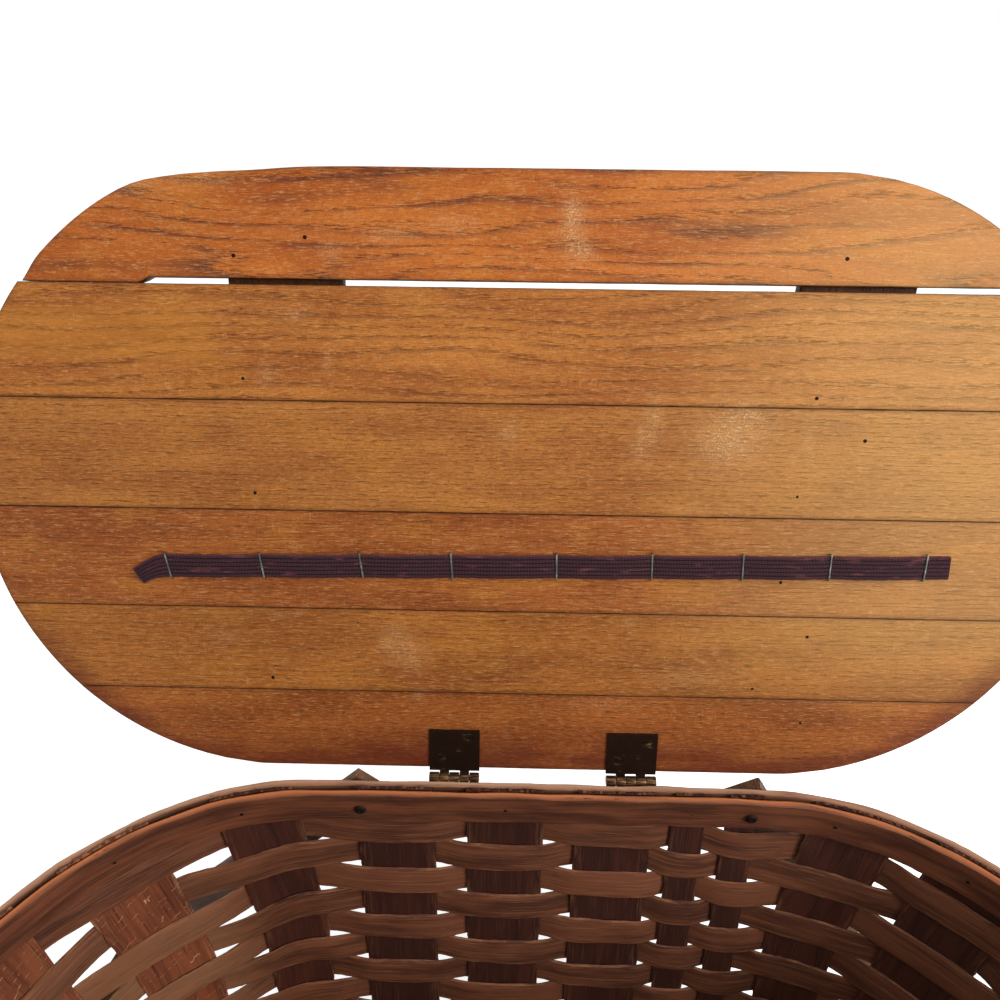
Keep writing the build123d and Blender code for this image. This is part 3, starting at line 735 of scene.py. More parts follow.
@dataclass(frozen=True)
class Wall:
    """The woven wall's shape, shared by the weavers and the upright splints.

    Each lean is for an end (1 right, -1 left) and a stake number from 0, and gives the degrees that
    the stake is turned by at the rim and low down.
    """

    outline: RimOutline = RimOutline()
    hoop_thickness: float = 3.6
    slot: float = 2.4
    taper: float = math.radians(12)
    splint_thickness: float = 1.4
    end_stake_count: int = 7
    end_stake_first_turn: float = math.radians(14.5)
    end_stake_half_turn: float = math.radians(16.8) / 2
    side_count: int = 5
    lean_depth: float = 76.0
    leans: tuple[tuple[int, int, float, float], ...] = ((-1, 0, -2.8, -7.0), (-1, 1, 0.5, -3.0), (-1, 2, 0.0, -1.5),
                                                        (1, 0, 4.0, 0.5), (1, 1, 1.5, 0.0))

    @property
    def rim_top(self) -> float:
        """Height of the rim's top, from the frame."""
        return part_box("outer_rim_hoop")[1].z / MM

    @property
    def hoop_bottom(self) -> float:
        """Height of the hoops' lower edges, from the frame."""
        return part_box("outer_rim_hoop")[0].z / MM

    @property
    def inset_at_rim(self) -> float:
        """How far the splints lie inside the rim's outline at the top."""
        return self.hoop_thickness + self.slot / 2

    def inset(self, height: "Array | float") -> "Array | float":
        """How far the middle of the wall lies inside the rim's outline at a height."""
        return self.inset_at_rim + np.maximum(0.0, self.hoop_bottom - height) * math.tan(self.taper)

    def side_stakes(self) -> list[Pair]:
        """Place along X and half width of each long side's upright splints, from the frame."""
        boxes = [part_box(f"cross_splint_{number}") for number in range(1, self.side_count + 1)]
        return [((low.x + high.x) / 2 / MM, (high.x - low.x) / 2 / MM) for low, high in boxes]

    def end_turn(self, end: int, number: int, height: "Array | float") -> "Array | float":
        """Turn of an end stake from the basket's back, which changes where the stake leans.

        Args:
            end: 1 for the right end and -1 for the left.
            number: The stake's number from the back, from 0.
            height: Heights above the floor.

        Returns:
            The turn in radians at each height.
        """
        step = (math.pi - 2 * self.end_stake_first_turn) / (self.end_stake_count - 1)
        down = np.clip((self.hoop_bottom - height) / self.lean_depth, 0.0, 1.0)
        lean = {(which_end, which): (top, low) for which_end, which, top, low in self.leans}
        top, low = lean.get((end, number), (0.0, 0.0))
        return self.end_stake_first_turn + step * number + np.radians(top + (low - top) * down)

    def stations(self, inset: float, height: float) -> list[Pair]:
        """Every upright splint in order round the rim, as its station and half its width.

        Args:
            inset: Inset of the wall at the height in question.
            height: That height.

        Returns:
            Pairs of station and half width, sorted by station.
        """
        outline, quarter = self.outline, self.outline.quarter
        stakes = []
        for place, half in self.side_stakes():
            past = outline.past_flat(place)
            bowed = math.asin(past / (outline.bow_radius - inset)) * outline.bow_radius
            station = math.copysign(abs(place) - past + bowed, place)
            stakes += [(station, half), (2 * quarter - station, half)]
        half = self.end_stake_half_turn * outline.end_radius
        for number in range(self.end_stake_count):
            for end in (1, -1):
                station = quarter + (float(self.end_turn(end, number, height)) - math.pi / 2) * outline.end_radius
                stakes.append((station if end > 0 else 4 * quarter - station, half))
        return sorted((station % (4 * quarter), half) for station, half in stakes)


@dataclass
class Weave:
    """The weavers that go round the basket, over one stake and under the next."""

    wall: Wall
    rows: int = 11
    pitch: float = 16.9
    height: float = 17.15
    lift_at_edge: float = 1.7
    lift_at_centre: float = 2.35
    edge_margin: float = 0.6
    step: float = 3.0
    ease: float = 4.0
    drift: float = 0.22
    right_sag: float = 6.0
    left_sags: tuple[float, ...] = (0.0, 7.6, 12.6, 14.0, 12.6, 10.9, 9.1, 7.3, 5.5, 3.7, 1.8)
    left_narrowing: float = 0.95
    first_narrow_row: int = 4

    def lifts(self, at: Array, stakes: list[Pair], first_side: int, rng: np.random.Generator) -> Array:
        """How far the weaver stands outside the middle of the wall at each station.

        Args:
            at: Stations in order, evenly spaced.
            stakes: Station and half width of each stake, in order.
            first_side: 1 if the weaver passes outside the first stake.
            rng: Seeded source of random numbers.

        Returns:
            The distances, negative on the inside.
        """
        loop = 4 * self.wall.outline.quarter
        keys, values = [], []
        for index, (station, half) in enumerate(stakes):
            side = first_side * (-1) ** index
            edge = half + self.edge_margin
            keys += [station - edge, station, station + edge]
            values += [side * self.lift_at_edge, side * (self.lift_at_centre + rng.normal(0.0, 0.12)),
                       side * self.lift_at_edge]
        keys = np.array(keys)
        raw = np.interp(at % loop, np.concatenate([keys - loop, keys, keys + loop]), np.tile(values, 3))
        reach = int(self.ease / self.step) + 2
        window = np.hanning(2 * reach + 1)
        return np.convolve(np.concatenate([raw[-reach:], raw, raw[:reach]]), window / window.sum(), mode="valid")

    def at_left(self, x: Array) -> Array:
        """Share of the left end's sag at places along the basket."""
        return smoothstep(118, 168, -x)

    def sag(self, x: Array, row: int) -> Array:
        """How far a weaver hangs below its even place near the round ends, by its number from 1."""
        right = self.right_sag * smoothstep(30, 125, x) * (1 - (row - 1) / (self.rows + 2))
        return right + self.left_sags[row - 1] * self.at_left(x)

    def strip(self, row: int) -> Sweep:
        """The strip of one weaver.

        Args:
            row: Its number from the rim down, from 1.

        Returns:
            The strip, ready to be swept.
        """
        rng = np.random.default_rng(400 + row)
        wall, outline = self.wall, self.wall.outline
        loop = 4 * outline.quarter
        count = int(loop / self.step)
        middle = wall.hoop_bottom - (row - 0.5) * self.pitch
        inset = float(wall.inset(middle))
        first_side = 1 if row % 2 == 0 else -1
        stakes = wall.stations(inset, middle)
        outside = [station for station, _ in stakes[(1 - first_side) // 2::2]]
        at = outside[(5 * row + 7) % len(outside)] + np.arange(count) * loop / count
        lift = self.lifts(at, stakes, first_side, rng)
        x = outline.place(at, inset)[0][:, 0]
        height = middle + wander(at, 140, self.drift, rng, loop) - self.sag(x, row)
        flat, outward = outline.place(at, wall.inset(height) - lift)
        tilt = (wall.taper + wander(at, 60, 0.02, rng, loop))[:, None]
        narrow = np.abs(wander(at, 70, 0.16, rng, loop))
        if row >= self.first_narrow_row:
            narrow = narrow + self.left_narrowing * self.at_left(x)
        # The lower rows are painted paler at the left end, as painted light.
        return Sweep(flat + UP * height[:, None], outward * np.sin(tilt) + UP * np.cos(tilt),
                     outward * np.cos(tilt) - UP * np.sin(tilt), self.height / 2 - narrow,
                     np.full(count, wall.splint_thickness / 2), closed=True, cup=0.3, round_over=0.45, ragged=0.14,
                     bleached=min(1.0, 0.35 * (row - 1)) * smoothstep(136, 176, -x))

    def build(self, wood: bpy.types.Material) -> None:
        """Make every weaver.

        Args:
            wood: Their finish.
        """
        tones = np.random.default_rng(77).normal(0.0, 0.045, self.rows)
        for row, tone in enumerate(tones, start=1):
            strip = self.strip(row)
            shape = strip.shape(20 + row, float(tone))
            strip.add_slivers(shape, 60 + row, 14, 8.0)
            shape.hand_in(f"woven_weaver_{row}", wood, Body.BASKET, Slot.SPLINT_WOOD, f"weaver_{row}")


@dataclass
class Stakes:
    """The upright splints, from between the hoops down the wall and under the bottom."""

    wall: Wall
    top_drop: float = 0.8
    foot_length: float = 24.0
    foot_clearance: float = 0.1
    rim_bend: float = 14.0 / 6
    foot_bend: float = 5.0
    step: float = 3.0
    least_step: float = 0.35
    broken_thickness: float = 0.62

    def foot(self, rim: float, foot_z: float) -> float:
        """Distance out where the wall meets the foot."""
        return rim - (float(self.wall.inset(foot_z)) - self.wall.inset_at_rim)

    def route(self, rim: float, foot_z: float, foot_end: float) -> Array:
        """Even points of a stake's middle line from the rim to its foot, as distance out and height.

        Args:
            rim: Distance out at the rim.
            foot_z: Height of the foot.
            foot_end: Distance out where the foot ends.

        Returns:
            Rows of distance out and height.
        """
        wall = self.wall
        corners = np.array([(rim, wall.rim_top - self.top_drop), (rim, wall.hoop_bottom),
                            (self.foot(rim, foot_z), foot_z), (foot_end, foot_z)])
        points = [corners[0]]
        for before, corner, after, bend in ((*corners[:3], self.rim_bend), (*corners[1:], self.foot_bend)):
            start = corner + (before - corner) / np.linalg.norm(before - corner) * bend
            finish = corner + (after - corner) / np.linalg.norm(after - corner) * bend
            points += [(1 - share) ** 2 * start + 2 * share * (1 - share) * corner + share ** 2 * finish
                       for share in np.linspace(0, 1, 5)]
        points = np.array([*points, corners[3]])
        lengths = np.concatenate([[0.0], np.cumsum(np.linalg.norm(np.diff(points, axis=0), axis=1))])
        even = np.linspace(0, lengths[-1], int(lengths[-1] / self.step) + 1)
        dense = np.sort(np.concatenate([even, lengths[1:-1]]))
        dense = dense[np.concatenate([[True], np.diff(dense) > self.least_step])]
        return np.stack([np.interp(dense, lengths, points[:, axis]) for axis in (0, 1)], axis=-1)

    def strip(self, seed: int, route: Array, out: Array, centre: Array, across: Array, half: Array,
              **section: float) -> Sweep:
        """The strip of a stake along a route.

        Args:
            seed: Seed of its irregularities.
            route: Distance out and height of each point.
            out: Outward direction, seen from above, for each point or for all.
            centre: The place that distances are measured from.
            across: Direction of its width, for each point.
            half: Half its width.
            section: Further sizes of its section.

        Returns:
            The strip, ready to be swept.
        """
        count = len(route)
        heading = headings(route)
        narrow = np.abs(wander(np.arange(count) * self.step, 60, 0.2, np.random.default_rng(seed)))
        return Sweep(centre + out * route[:, :1] + UP * route[:, 1:], across,
                     out * -heading[:, 1:] + UP * heading[:, :1], half - narrow,
                     np.full(count, self.wall.splint_thickness / 2), round_over=0.4, ragged=0.2, **section)

    def side_splint(self, place: float, half: float, seed: int) -> Sweep:
        """A splint that goes down the back, under the bottom and up the front.

        Args:
            place: Its place along X.
            half: Half its width.
            seed: Seed of its irregularities.

        Returns:
            The strip, ready to be swept.
        """
        wall, outline = self.wall, self.wall.outline
        bow = outline.bow_radius - wall.inset_at_rim
        rim = outline.bow_centre + math.sqrt(bow ** 2 - outline.past_flat(place) ** 2)
        back = self.route(rim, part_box("back_runner")[1].z / MM + wall.splint_thickness / 2, 0.0)
        whole = np.concatenate([back, back[-2::-1] * [-1, 1]])
        along = np.array([1.0, 0.0, 0.0])
        return self.strip(seed, whole, np.array([0.0, 1.0, 0.0]), along * place, np.tile(along, (len(whole), 1)), half)

    def end_stake(self, end: int, number: int, seed: int) -> Sweep:
        """A stake at a round end, bent with it, with its foot turned in under the bottom.

        Args:
            end: 1 for the right end and -1 for the left.
            number: The stake's number from the back, from 0.
            seed: Seed of its irregularities.

        Returns:
            The strip, ready to be swept.
        """
        wall = self.wall
        rim = wall.outline.end_radius - wall.inset_at_rim
        foot_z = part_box("back_base_board")[0].z / MM - self.foot_clearance - wall.splint_thickness / 2
        route = self.route(rim, foot_z, self.foot(rim, foot_z) - self.foot_length)
        turn = wall.end_turn(end, number, route[:, 1])
        half = route[:, 0] * math.sin(wall.end_stake_half_turn)
        return self.strip(seed, route, stacked(end * np.sin(turn), np.cos(turn), 0.0),
                          np.array([end * wall.outline.end_centre, 0.0, 0.0]),
                          stacked(np.cos(turn), -end * np.sin(turn), 0.0), half,
                          cup=-(half.max() ** 2) / (2 * rim), columns=9)

    def add_broken_top(self, shape: Shape, strip: Sweep, row: int, seed: int) -> None:
        """Add the broken fibres that stand in the slot between the hoops.

        Args:
            shape: The stake's shape.
            strip: The stake's strip.
            row: The strip's row at the top, 0 or -1.
            seed: Seed of the breaks.
        """
        rng = np.random.default_rng(seed)
        half = float(strip.half_width[row])
        deep = strip.outward[row] * self.broken_thickness
        place = -half
        while place < half - 0.8:
            wide = min(rng.uniform(0.7, 2.6), half - place)
            tall = rng.uniform(-0.4, 1.35)
            lean = rng.uniform(-0.5, 0.5)
            if tall > 0.1:
                corners = []
                for side, rise in ((place, -0.4), (place + wide, -0.4),
                                   (place + wide + lean, tall * rng.uniform(0.4, 1)), (place + lean, tall)):
                    middle = strip.path[row] + strip.across[row] * side + UP * rise \
                        + strip.outward[row] * strip.cup * (side / half) ** 2
                    corners += [middle - deep, middle + deep]
                grain = np.array([[rise * 2.0, place, seed * 11.0] for rise in range(8)])
                shape.add(np.array(corners), [(0, 2, 4, 6), (7, 5, 3, 1), (0, 1, 3, 2), (2, 3, 5, 4), (4, 5, 7, 6),
                                              (6, 7, 1, 0)], grain, edge=1.6, tone=rng.normal(0, 0.1))
            place += wide

    def build(self, side_wood: bpy.types.Material, end_wood: bpy.types.Material) -> None:
        """Make every upright splint.

        Args:
            side_wood: Finish of the long sides' splints and of the right end's.
            end_wood: Finish of the stakes of the left end, whose paler colour is painted light.
        """
        for number, (place, half) in enumerate(self.wall.side_stakes(), start=1):
            strip = self.side_splint(place, half, 130 + number)
            shape = strip.shape(100 + number, -0.1)
            strip.add_slivers(shape, 160 + number, 12, 7.0)
            self.add_broken_top(shape, strip, 0, 180 + number)
            self.add_broken_top(shape, strip, -1, 190 + number)
            shape.hand_in(f"upright_splint_{number}", side_wood, Body.BASKET, Slot.SPLINT_WOOD,
                          f"cross_splint_{number}")
        for end, name in ((1, "right"), (-1, "left")):
            for number in range(1, self.wall.end_stake_count + 1):
                strip = self.end_stake(end, number - 1, 200 + 10 * end + number)
                seed = 20 * end + number
                shape = strip.shape(300 + seed, 0.02)
                strip.add_slivers(shape, 340 + seed, 8, 7.0)
                self.add_broken_top(shape, strip, 0, 380 + seed)
                shape.hand_in(f"{name}_upright_stake_{number}", end_wood if end < 0 and number > 1 else side_wood,
                              Body.BASKET, Slot.SPLINT_WOOD, f"{name}_end_stake_{number}")


@dataclass
class Rim:
    """The two bent hoops of the rim."""

    wall: Wall
    step: float = 3.0
    clearance: float = 0.12
    joint: float = 40.0

    def hoop(self, inset: float, seed: int, uneven: float) -> Sweep:
        """One hoop.

        Args:
            inset: Inset of the hoop's middle.
            seed: Seed of its irregularities.
            uneven: How uneven its top edge is.

        Returns:
            The strip, ready to be swept.
        """
        wall = self.wall
        rng = np.random.default_rng(seed)
        loop = 4 * wall.outline.quarter
        count = int(loop / self.step)
        at = 2 * wall.outline.quarter + self.joint + np.arange(count) * loop / count
        flat, outward = wall.outline.place(at, inset)
        top = -np.abs(wander(at, 110, uneven, rng, loop))
        bottom = np.abs(wander(at, 90, uneven, rng, loop))
        thin = np.abs(wander(at, 120, 0.10, rng, loop))
        middle = (wall.rim_top + wall.hoop_bottom) / 2 + (top + bottom) / 2
        return Sweep(flat + UP * middle[:, None], np.tile(UP, (count, 1)), outward,
                     (wall.rim_top - wall.hoop_bottom) / 2 + (top - bottom) / 2,
                     wall.hoop_thickness / 2 - self.clearance - thin, closed=True, columns=9, round_over=0.9,
                     ragged=0.12)

    def build(self, outer_wood: bpy.types.Material, inner_wood: bpy.types.Material) -> None:
        """Make both hoops.

        Args:
            outer_wood: Finish of the outer hoop.
            inner_wood: Finish of the inner hoop.
        """
        outer_inset = self.wall.hoop_thickness / 2
        inner_inset = self.wall.hoop_thickness * 1.5 + self.wall.slot
        for node, inset, seed, uneven, wood in (("outer_rim_hoop", outer_inset, 501, 0.45, outer_wood),
                                                ("inner_rim_hoop", inner_inset, 502, 0.25, inner_wood)):
            strip = self.hoop(inset, seed, uneven)
            shape = strip.shape(seed, bright_top=True)
            strip.add_slivers(shape, seed + 20, 30, 6.0, 0.05)
            shape.hand_in(f"bent_{node}", wood, Body.BASKET, Slot.RIM_WOOD, node)


@dataclass
class Handles:
    """The two bail handles, each a flat strip bent to a U, with the directions of their legs at rest."""

    wall: Wall
    reach: float = 232.0
    end: float = 6.3
    width: float = 22.0
    thickness: float = 5.5
    bend: float = 42.0
    step: float = 4.0
    directions: tuple[int, int] = (225, 302)

    def strip(self, pivot_x: float, direction: int) -> Sweep:
        """The strip of one handle, at rest.

        Args:
            pivot_x: Place of its pivot along X.
            direction: Direction of its legs from +X, in degrees.

        Returns:
            The strip, ready to be swept.
        """
        leg_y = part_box("left_handle")[1].y / MM - self.thickness / 2
        leg = [(leg_y, d) for d in np.arange(-self.end, self.reach - self.bend, self.step)]
        corner = [(leg_y - self.bend * (1 - math.cos(turn)), self.reach - self.bend * (1 - math.sin(turn)))
                  for turn in np.linspace(0, math.pi / 2, 12)]
        grip = [(y, self.reach) for y in np.arange(leg_y - self.bend - self.step, 0.0, -self.step)]
        half = np.array(leg + corner + grip)
        whole = np.concatenate([half, [[0.0, self.reach]], half[::-1] * [-1, 1]])
        out = np.array([math.cos(math.radians(direction)), 0.0, math.sin(math.radians(direction))])
        pivot = np.array([pivot_x, 0.0, self.wall.rim_top - PIVOT_DROP])
        path = pivot + np.array([0.0, 1.0, 0.0]) * whole[:, :1] + out * whole[:, 1:]
        side = np.tile([out[2], 0.0, -out[0]], (len(path), 1))
        rng = np.random.default_rng(direction)
        at = np.arange(len(path)) * self.step
        half_width = self.width / 2 - np.abs(wander(at, 120, 0.18, rng))
        half_thick = self.thickness / 2 - np.abs(wander(at, 90, 0.12, rng))
        return Sweep(path, side, np.cross(side, headings(path)), half_width, half_thick, round_over=1.1, ragged=0.12)

    def build(self, wood: bpy.types.Material) -> None:
        """Make both handles.

        Args:
            wood: Their finish.
        """
        for body, pivot_x, direction in zip((Body.LEFT_HANDLE, Body.RIGHT_HANDLE), HANDLE_PIVOTS, self.directions):
            strip = self.strip(pivot_x, direction)
            shape = strip.shape(direction, 0.05)
            strip.add_slivers(shape, direction + 3, 10, 6.0)
            shape.hand_in(f"bent_{body.value}", wood, body, Slot.HANDLE_WOOD, body.value)


@dataclass
class Slab:
    """A flat board whose ends may be curved, with worn, rounded edges."""

    low: float
    high: float
    bottom: float
    top: float
    round_over: float = 0.8
    long_steps: int = 170
    cross_step: float = 2.2
    seed_shift: float = 41.0

    @staticmethod
    def edge_spaced(count: int, rounding: float) -> Array:
        """Shares from 0 to 1 with extra ones close to both ends, for a rounded edge.

        Args:
            count: Number of even steps.
            rounding: Share of the length that the round-over takes.

        Returns:
            The shares in order.
        """
        near = rounding * (1 - np.cos(np.linspace(0, math.pi / 2, 4)))
        return np.concatenate([near, np.linspace(rounding, 1 - rounding, count)[1:-1], (1 - near)[::-1]])

    def grid(self, ends: Ends, seed: int, uneven: float) -> tuple[Array, Array, Array, Array]:
        """Places of the board's grid and how far each lies below its faces.

        Args:
            ends: Gives the least and the greatest X at heights up the board.
            seed: Seed of its irregularities.
            uneven: How far its long edges wander.

        Returns:
            X, height up the board, distance below the faces, and closeness to an edge, as grids.
        """
        rng = np.random.default_rng(seed)
        width = self.high - self.low
        shares = self.edge_spaced(max(3, int(width / self.cross_step)), self.round_over / width)
        up = self.low + shares * width
        left, right = ends(up)
        length = right - left
        along = self.edge_spaced(self.long_steps, self.round_over / float(length.max()))
        x = left[:, None] + length[:, None] * along[None, :]
        low_edge, high_edge = (np.abs(wander(x, 75, uneven, rng) + wander(x, 8, uneven * 0.3, rng)) for _ in range(2))
        share = shares[:, None]
        y = up[:, None] + low_edge * (1 - share) ** 8 - high_edge * share ** 8
        to_edge = np.minimum(np.minimum(up - self.low, self.high - up)[:, None],
                             np.minimum(x - left[:, None], right[:, None] - x))
        rounded = np.clip(self.round_over - to_edge, 0.0, self.round_over)
        below = self.round_over - np.sqrt(np.maximum(0.0, self.round_over ** 2 - rounded ** 2))
        return x, y, below, 1 - np.clip(to_edge / (2.2 * self.round_over), 0, 1)

    def shape(self, ends: Ends, place: Place, seed: int, uneven: float, cupped: float = 0.0,
              paint: Optional[Callable[[Array, Array], dict[str, Array]]] = None) -> Shape:
        """Make the board's mesh.

        Args:
            ends: Gives the least and the greatest X at heights up the board.
            place: Turns X, height up and depth into places in the frame.
            seed: Seed of its irregularities.
            uneven: How far its long edges wander.
            cupped: How far the middle of its top face is drawn in.
            paint: Gives painted marks from X and height up.

        Returns:
            A new shape with the board.
        """
        x, y, below, edge = self.grid(ends, seed, uneven)
        share = (y - self.low) / (self.high - self.low)
        hollow = cupped * (1 - (2 * share - 1) ** 2)
        depths = (self.top - below - hollow, self.bottom + below)
        index = np.arange(x.size).reshape(x.shape)
        quads = np.stack([index[:-1, :-1], index[:-1, 1:], index[1:, 1:], index[1:, :-1]], axis=-1).reshape(-1, 4)
        border = np.concatenate([index[0], index[1:, -1], index[-1, -2::-1], index[-2:0:-1, 0]])
        after = np.roll(border, -1)
        sides = np.stack([after, border, border + x.size, after + x.size], axis=-1)
        marks = {**(paint(x, y) if paint else {}), "edge": edge}
        shape = Shape()
        shape.add(np.concatenate([place(x, y, depth).reshape(-1, 3) for depth in depths]),
                  [*quads.tolist(), *(quads[:, ::-1] + x.size).tolist(), *sides.tolist()],
                  np.concatenate([stacked(x, y, depth + seed * self.seed_shift).reshape(-1, 3) for depth in depths]),
                  **{name: np.tile(values.ravel(), 2) for name, values in marks.items()})
        return shape


def add_turned(shape: Shape, rings: Sequence[Pair], place: Place, sides: int) -> None:
    """Add a closed round form to a shape.

    Args:
        shape: The shape that takes it.
        rings: Radius and depth of each ring, with the first and last at radius 0.
        place: Turns radius, angle and depth into places in the frame.
        sides: Sides of each ring.
    """
    turns = np.arange(sides) * 2 * math.pi / sides
    points = [place(radius, turns if radius else turns[:1], depth) for radius, depth in rings]
    flat = np.concatenate(points)
    last, end = 1 + (len(rings) - 3) * sides, len(flat) - 1
    faces = [(0, 1 + (j + 1) % sides, 1 + j) for j in range(sides)]
    faces += [tuple(index + 1 for index in face) for face in tube_faces(len(rings) - 2, sides)[:-2]]
    faces += [(last + j, last + (j + 1) % sides, end) for j in range(sides)]
    shape.add(flat, faces, flat)


@dataclass
class Lid:
    """The board lid with its battens and their nails.

    Gaps are those above each board. Nail places are X and height up the lid, and spots of wear are
    X, height up, half width, half height and strength.
    """

    lean: float = math.radians(20)
    pin_y: float = 146.15
    edge_from_pin: float = 4.0
    thickness: float = 7.0
    inner_face: float = -2.65
    shift: float = -7.0
    length: float = 520.0
    corner: float = 136.0
    widths: tuple[float, ...] = (41.4, 43.0, 48.6, 51.1, 50.8, 46.4)
    gaps: tuple[float, ...] = (0.3, 0.3, 0.3, 0.3, 2.5, 0.0)
    tight_gap: float = 1.0
    tight_cover: float = 0.9
    board_round_over: float = 0.55
    board_uneven: float = 0.05
    board_cupping: float = 0.12
    edge_sag: float = 2.2
    gap_closing: float = 2.3
    # Strength of the painted shade along the hinge edge, next to the rim.
    hinge_shade: float = 0.52
    outline_stain: float = 0.9
    most_scuff: float = 1.4
    most_stain_and_shade: float = 1.1
    batten_thickness: float = 7.0
    batten_width: float = 52.0
    batten_length: float = 250.0
    batten_margin: float = 17.0
    batten_gap: float = 0.02
    batten_uneven: float = 0.3
    points_proud: float = 0.14
    points_short: float = 3.0
    nail_seed: int = 9
    nail_sides: int = 14
    battens: tuple[tuple[str, float, float, int], ...] = (
        ("left", -115.3, math.radians(1.9), 644), ("right", 131.2, math.radians(-3.6), 645))
    tip_places: tuple[Pair, ...] = (
        (-138.6, 248), (-137.9, 195), (-135.6, 142), (-132.4, 48), (-107, 256), (127.5, 250), (121, 190),
        (145, 171), (117, 144.5), (113.5, 102.5), (129, 75), (105, 47), (130.5, 29))
    hidden_places: tuple[Pair, ...] = (
        (-110, 213), (-110, 163), (-134, 104), (-107, 119), (-104, 70), (-131, 33), (-104, 24), (150, 259),
        (146, 216), (141, 116), (108, 24))
    spots: tuple[tuple[float, ...], ...] = (
        (9, 261, 5, 11, 1.0), (14, 252, 3.5, 3.5, 1.1), (8, 268, 3, 4, 0.8), (86, 174, 14, 13, 1.1),
        (92, 182, 5, 4, 0.7), (80, 168, 9, 7, 0.7), (49, 180, 4, 9, 0.75), (44, 168, 4.5, 8, 0.7),
        (-17, 172, 3.5, 4, 0.7), (-71, 68, 8, 8, 0.6), (-62, 60, 7, 7, 0.4), (43, 81, 1.3, 2.4, 1.4),
        (-112, 223, 6, 3, 0.5), (75, 52, 14, 5, 0.35), (-184, 277, 14, 5, 0.7), (-150, 281, 12, 3, 0.5),
        (120, 172, 2.5, 12, 0.5), (30, 37, 16, 2, 0.4), (-60, 40, 2.2, 1.8, 1.2), (-96, 250, 5, 5, 0.5),
        (-128, 196, 4, 4, 0.6), (-99, 203, 2.2, 6, 0.5), (-155, 70, 7, 3, 0.45), (64, 138, 7, 2, 0.4),
        (-122, 83, 7, 0.9, 1.2), (-150, 81, 5, 0.8, 0.8), (-42, 262, 9, 3, 0.5), (-70, 258, 10, 3, 0.5))

    @property
    def depth(self) -> float:
        """Depth of the lid from its hinge edge to its free edge."""
        return sum(self.widths) + sum(self.gaps)

    @property
    def outer_face(self) -> float:
        """Depth of the boards' outer faces."""
        return self.inner_face - self.thickness

    @property
    def pin_z(self) -> float:
        """Height of the hinge pins, from the frame."""
        low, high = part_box("hinge_pins")
        return (low.z + high.z) / 2 / MM

    def place(self, x: Array, up: Array, depth: Array) -> Array:
        """Turn places on the lid into places in the frame.

        Args:
            x: Along the hinge.
            up: Up the lid from its hinge edge.
            depth: Out of the pins' plane, towards the inner side.

        Returns:
            Places in the frame.
        """
        rise = np.asarray(up) + self.edge_from_pin
        return stacked(x, self.pin_y + rise * math.sin(self.lean) - depth * math.cos(self.lean),
                       self.pin_z + rise * math.cos(self.lean) + depth * math.sin(self.lean))

    def board_place(self, x: Array, up: Array, depth: Array) -> Array:
        """The same for the boards, with the free edge crooked and its gap closed at the left.

        Args:
            x: Along the hinge.
            up: Up the lid from its hinge edge.
            depth: Out of the pins' plane, towards the inner side.

        Returns:
            Places in the frame.
        """
        dip = self.edge_sag * np.exp(-((x + 138) / 24) ** 2) - self.edge_sag * smoothstep(-160, -186, x)
        dipped = dip * smoothstep(self.depth - 40, self.depth, up)
        gap = self.depth - self.widths[-1]
        at_gap = smoothstep(gap + 9, gap, up) * (up > gap - 1)
        closed = self.gap_closing * smoothstep(-177, -181, x) * at_gap
        return self.place(x, up - dipped - closed, depth)

    def batten_place(self, centre: float, tilt: float, along: Array, side: Array, depth: Array) -> Array:
        """Turn places on a batten into places in the frame.

        Args:
            centre: The batten's middle along the hinge.
            tilt: Its turn from straight up the lid.
            along: Along the batten from its middle.
            side: Across the batten from its middle.
            depth: Out of the pins' plane, towards the inner side.

        Returns:
            Places in the frame.
        """
        x = centre + side * math.cos(tilt) - along * math.sin(tilt)
        middle = self.batten_margin + self.batten_length / 2
        return self.place(x, middle + along * math.cos(tilt) + side * math.sin(tilt), depth)

    def nail_place(self, nail: Pair, radius: float, angle: Array, depth: float) -> Array:
        """Places round a nail, from radius, angle and depth."""
        return self.place(nail[0] + radius * np.cos(angle), nail[1] + radius * np.sin(angle), depth)

    def ends(self, up: Array) -> tuple[Array, Array]:
        """Ends of the lid's outline.

        Args:
            up: Heights up the lid.

        Returns:
            The least and the greatest X at each height.
        """
        cut = self.corner - np.minimum(np.minimum(up, self.depth - up), self.corner)
        reach = self.length / 2 - self.corner + np.sqrt(np.maximum(0.0, self.corner ** 2 - cut ** 2))
        return self.shift - reach, self.shift + reach

    def paint(self, x: Array, up: Array) -> dict[str, Array]:
        """Painted scuffs, stains and tints of the inner face, with painted shade along the hinge edge and a painted
        sheen towards the right.

        Args:
            x: Along the hinge.
            up: Up the lid.

        Returns:
            The marks by name.
        """
        scuff = np.zeros_like(x)
        for centre_x, centre_up, wide, tall, strength in self.spots:
            scuff += strength * np.exp(-((x - centre_x) / wide) ** 2 - ((up - centre_up) / tall) ** 2)
        left, right = self.ends(np.clip(up, 0.0, self.depth))
        to_outline = np.minimum(np.minimum(x - left, right - x), up)
        # Darker along the hinge edge, next to the rim: painted shade.
        low = smoothstep(42, 4, up) * (1 - 0.7 * smoothstep(50, 150, np.abs(x - self.shift)))
        curve = smoothstep(21, 1, to_outline) * smoothstep(95, 45, up)
        return {"scuff": np.clip(scuff, 0, self.most_scuff),
                "stain": np.clip(self.hinge_shade * low + self.outline_stain * curve, 0, self.most_stain_and_shade),
                "golden": smoothstep(-146, -152, x) * smoothstep(200, 206, up) * smoothstep(228, 222, up),
                # Painted sheen, paler towards the right and up the lid.
                "faded": smoothstep(10, 190, x) * smoothstep(20, 90, up)}

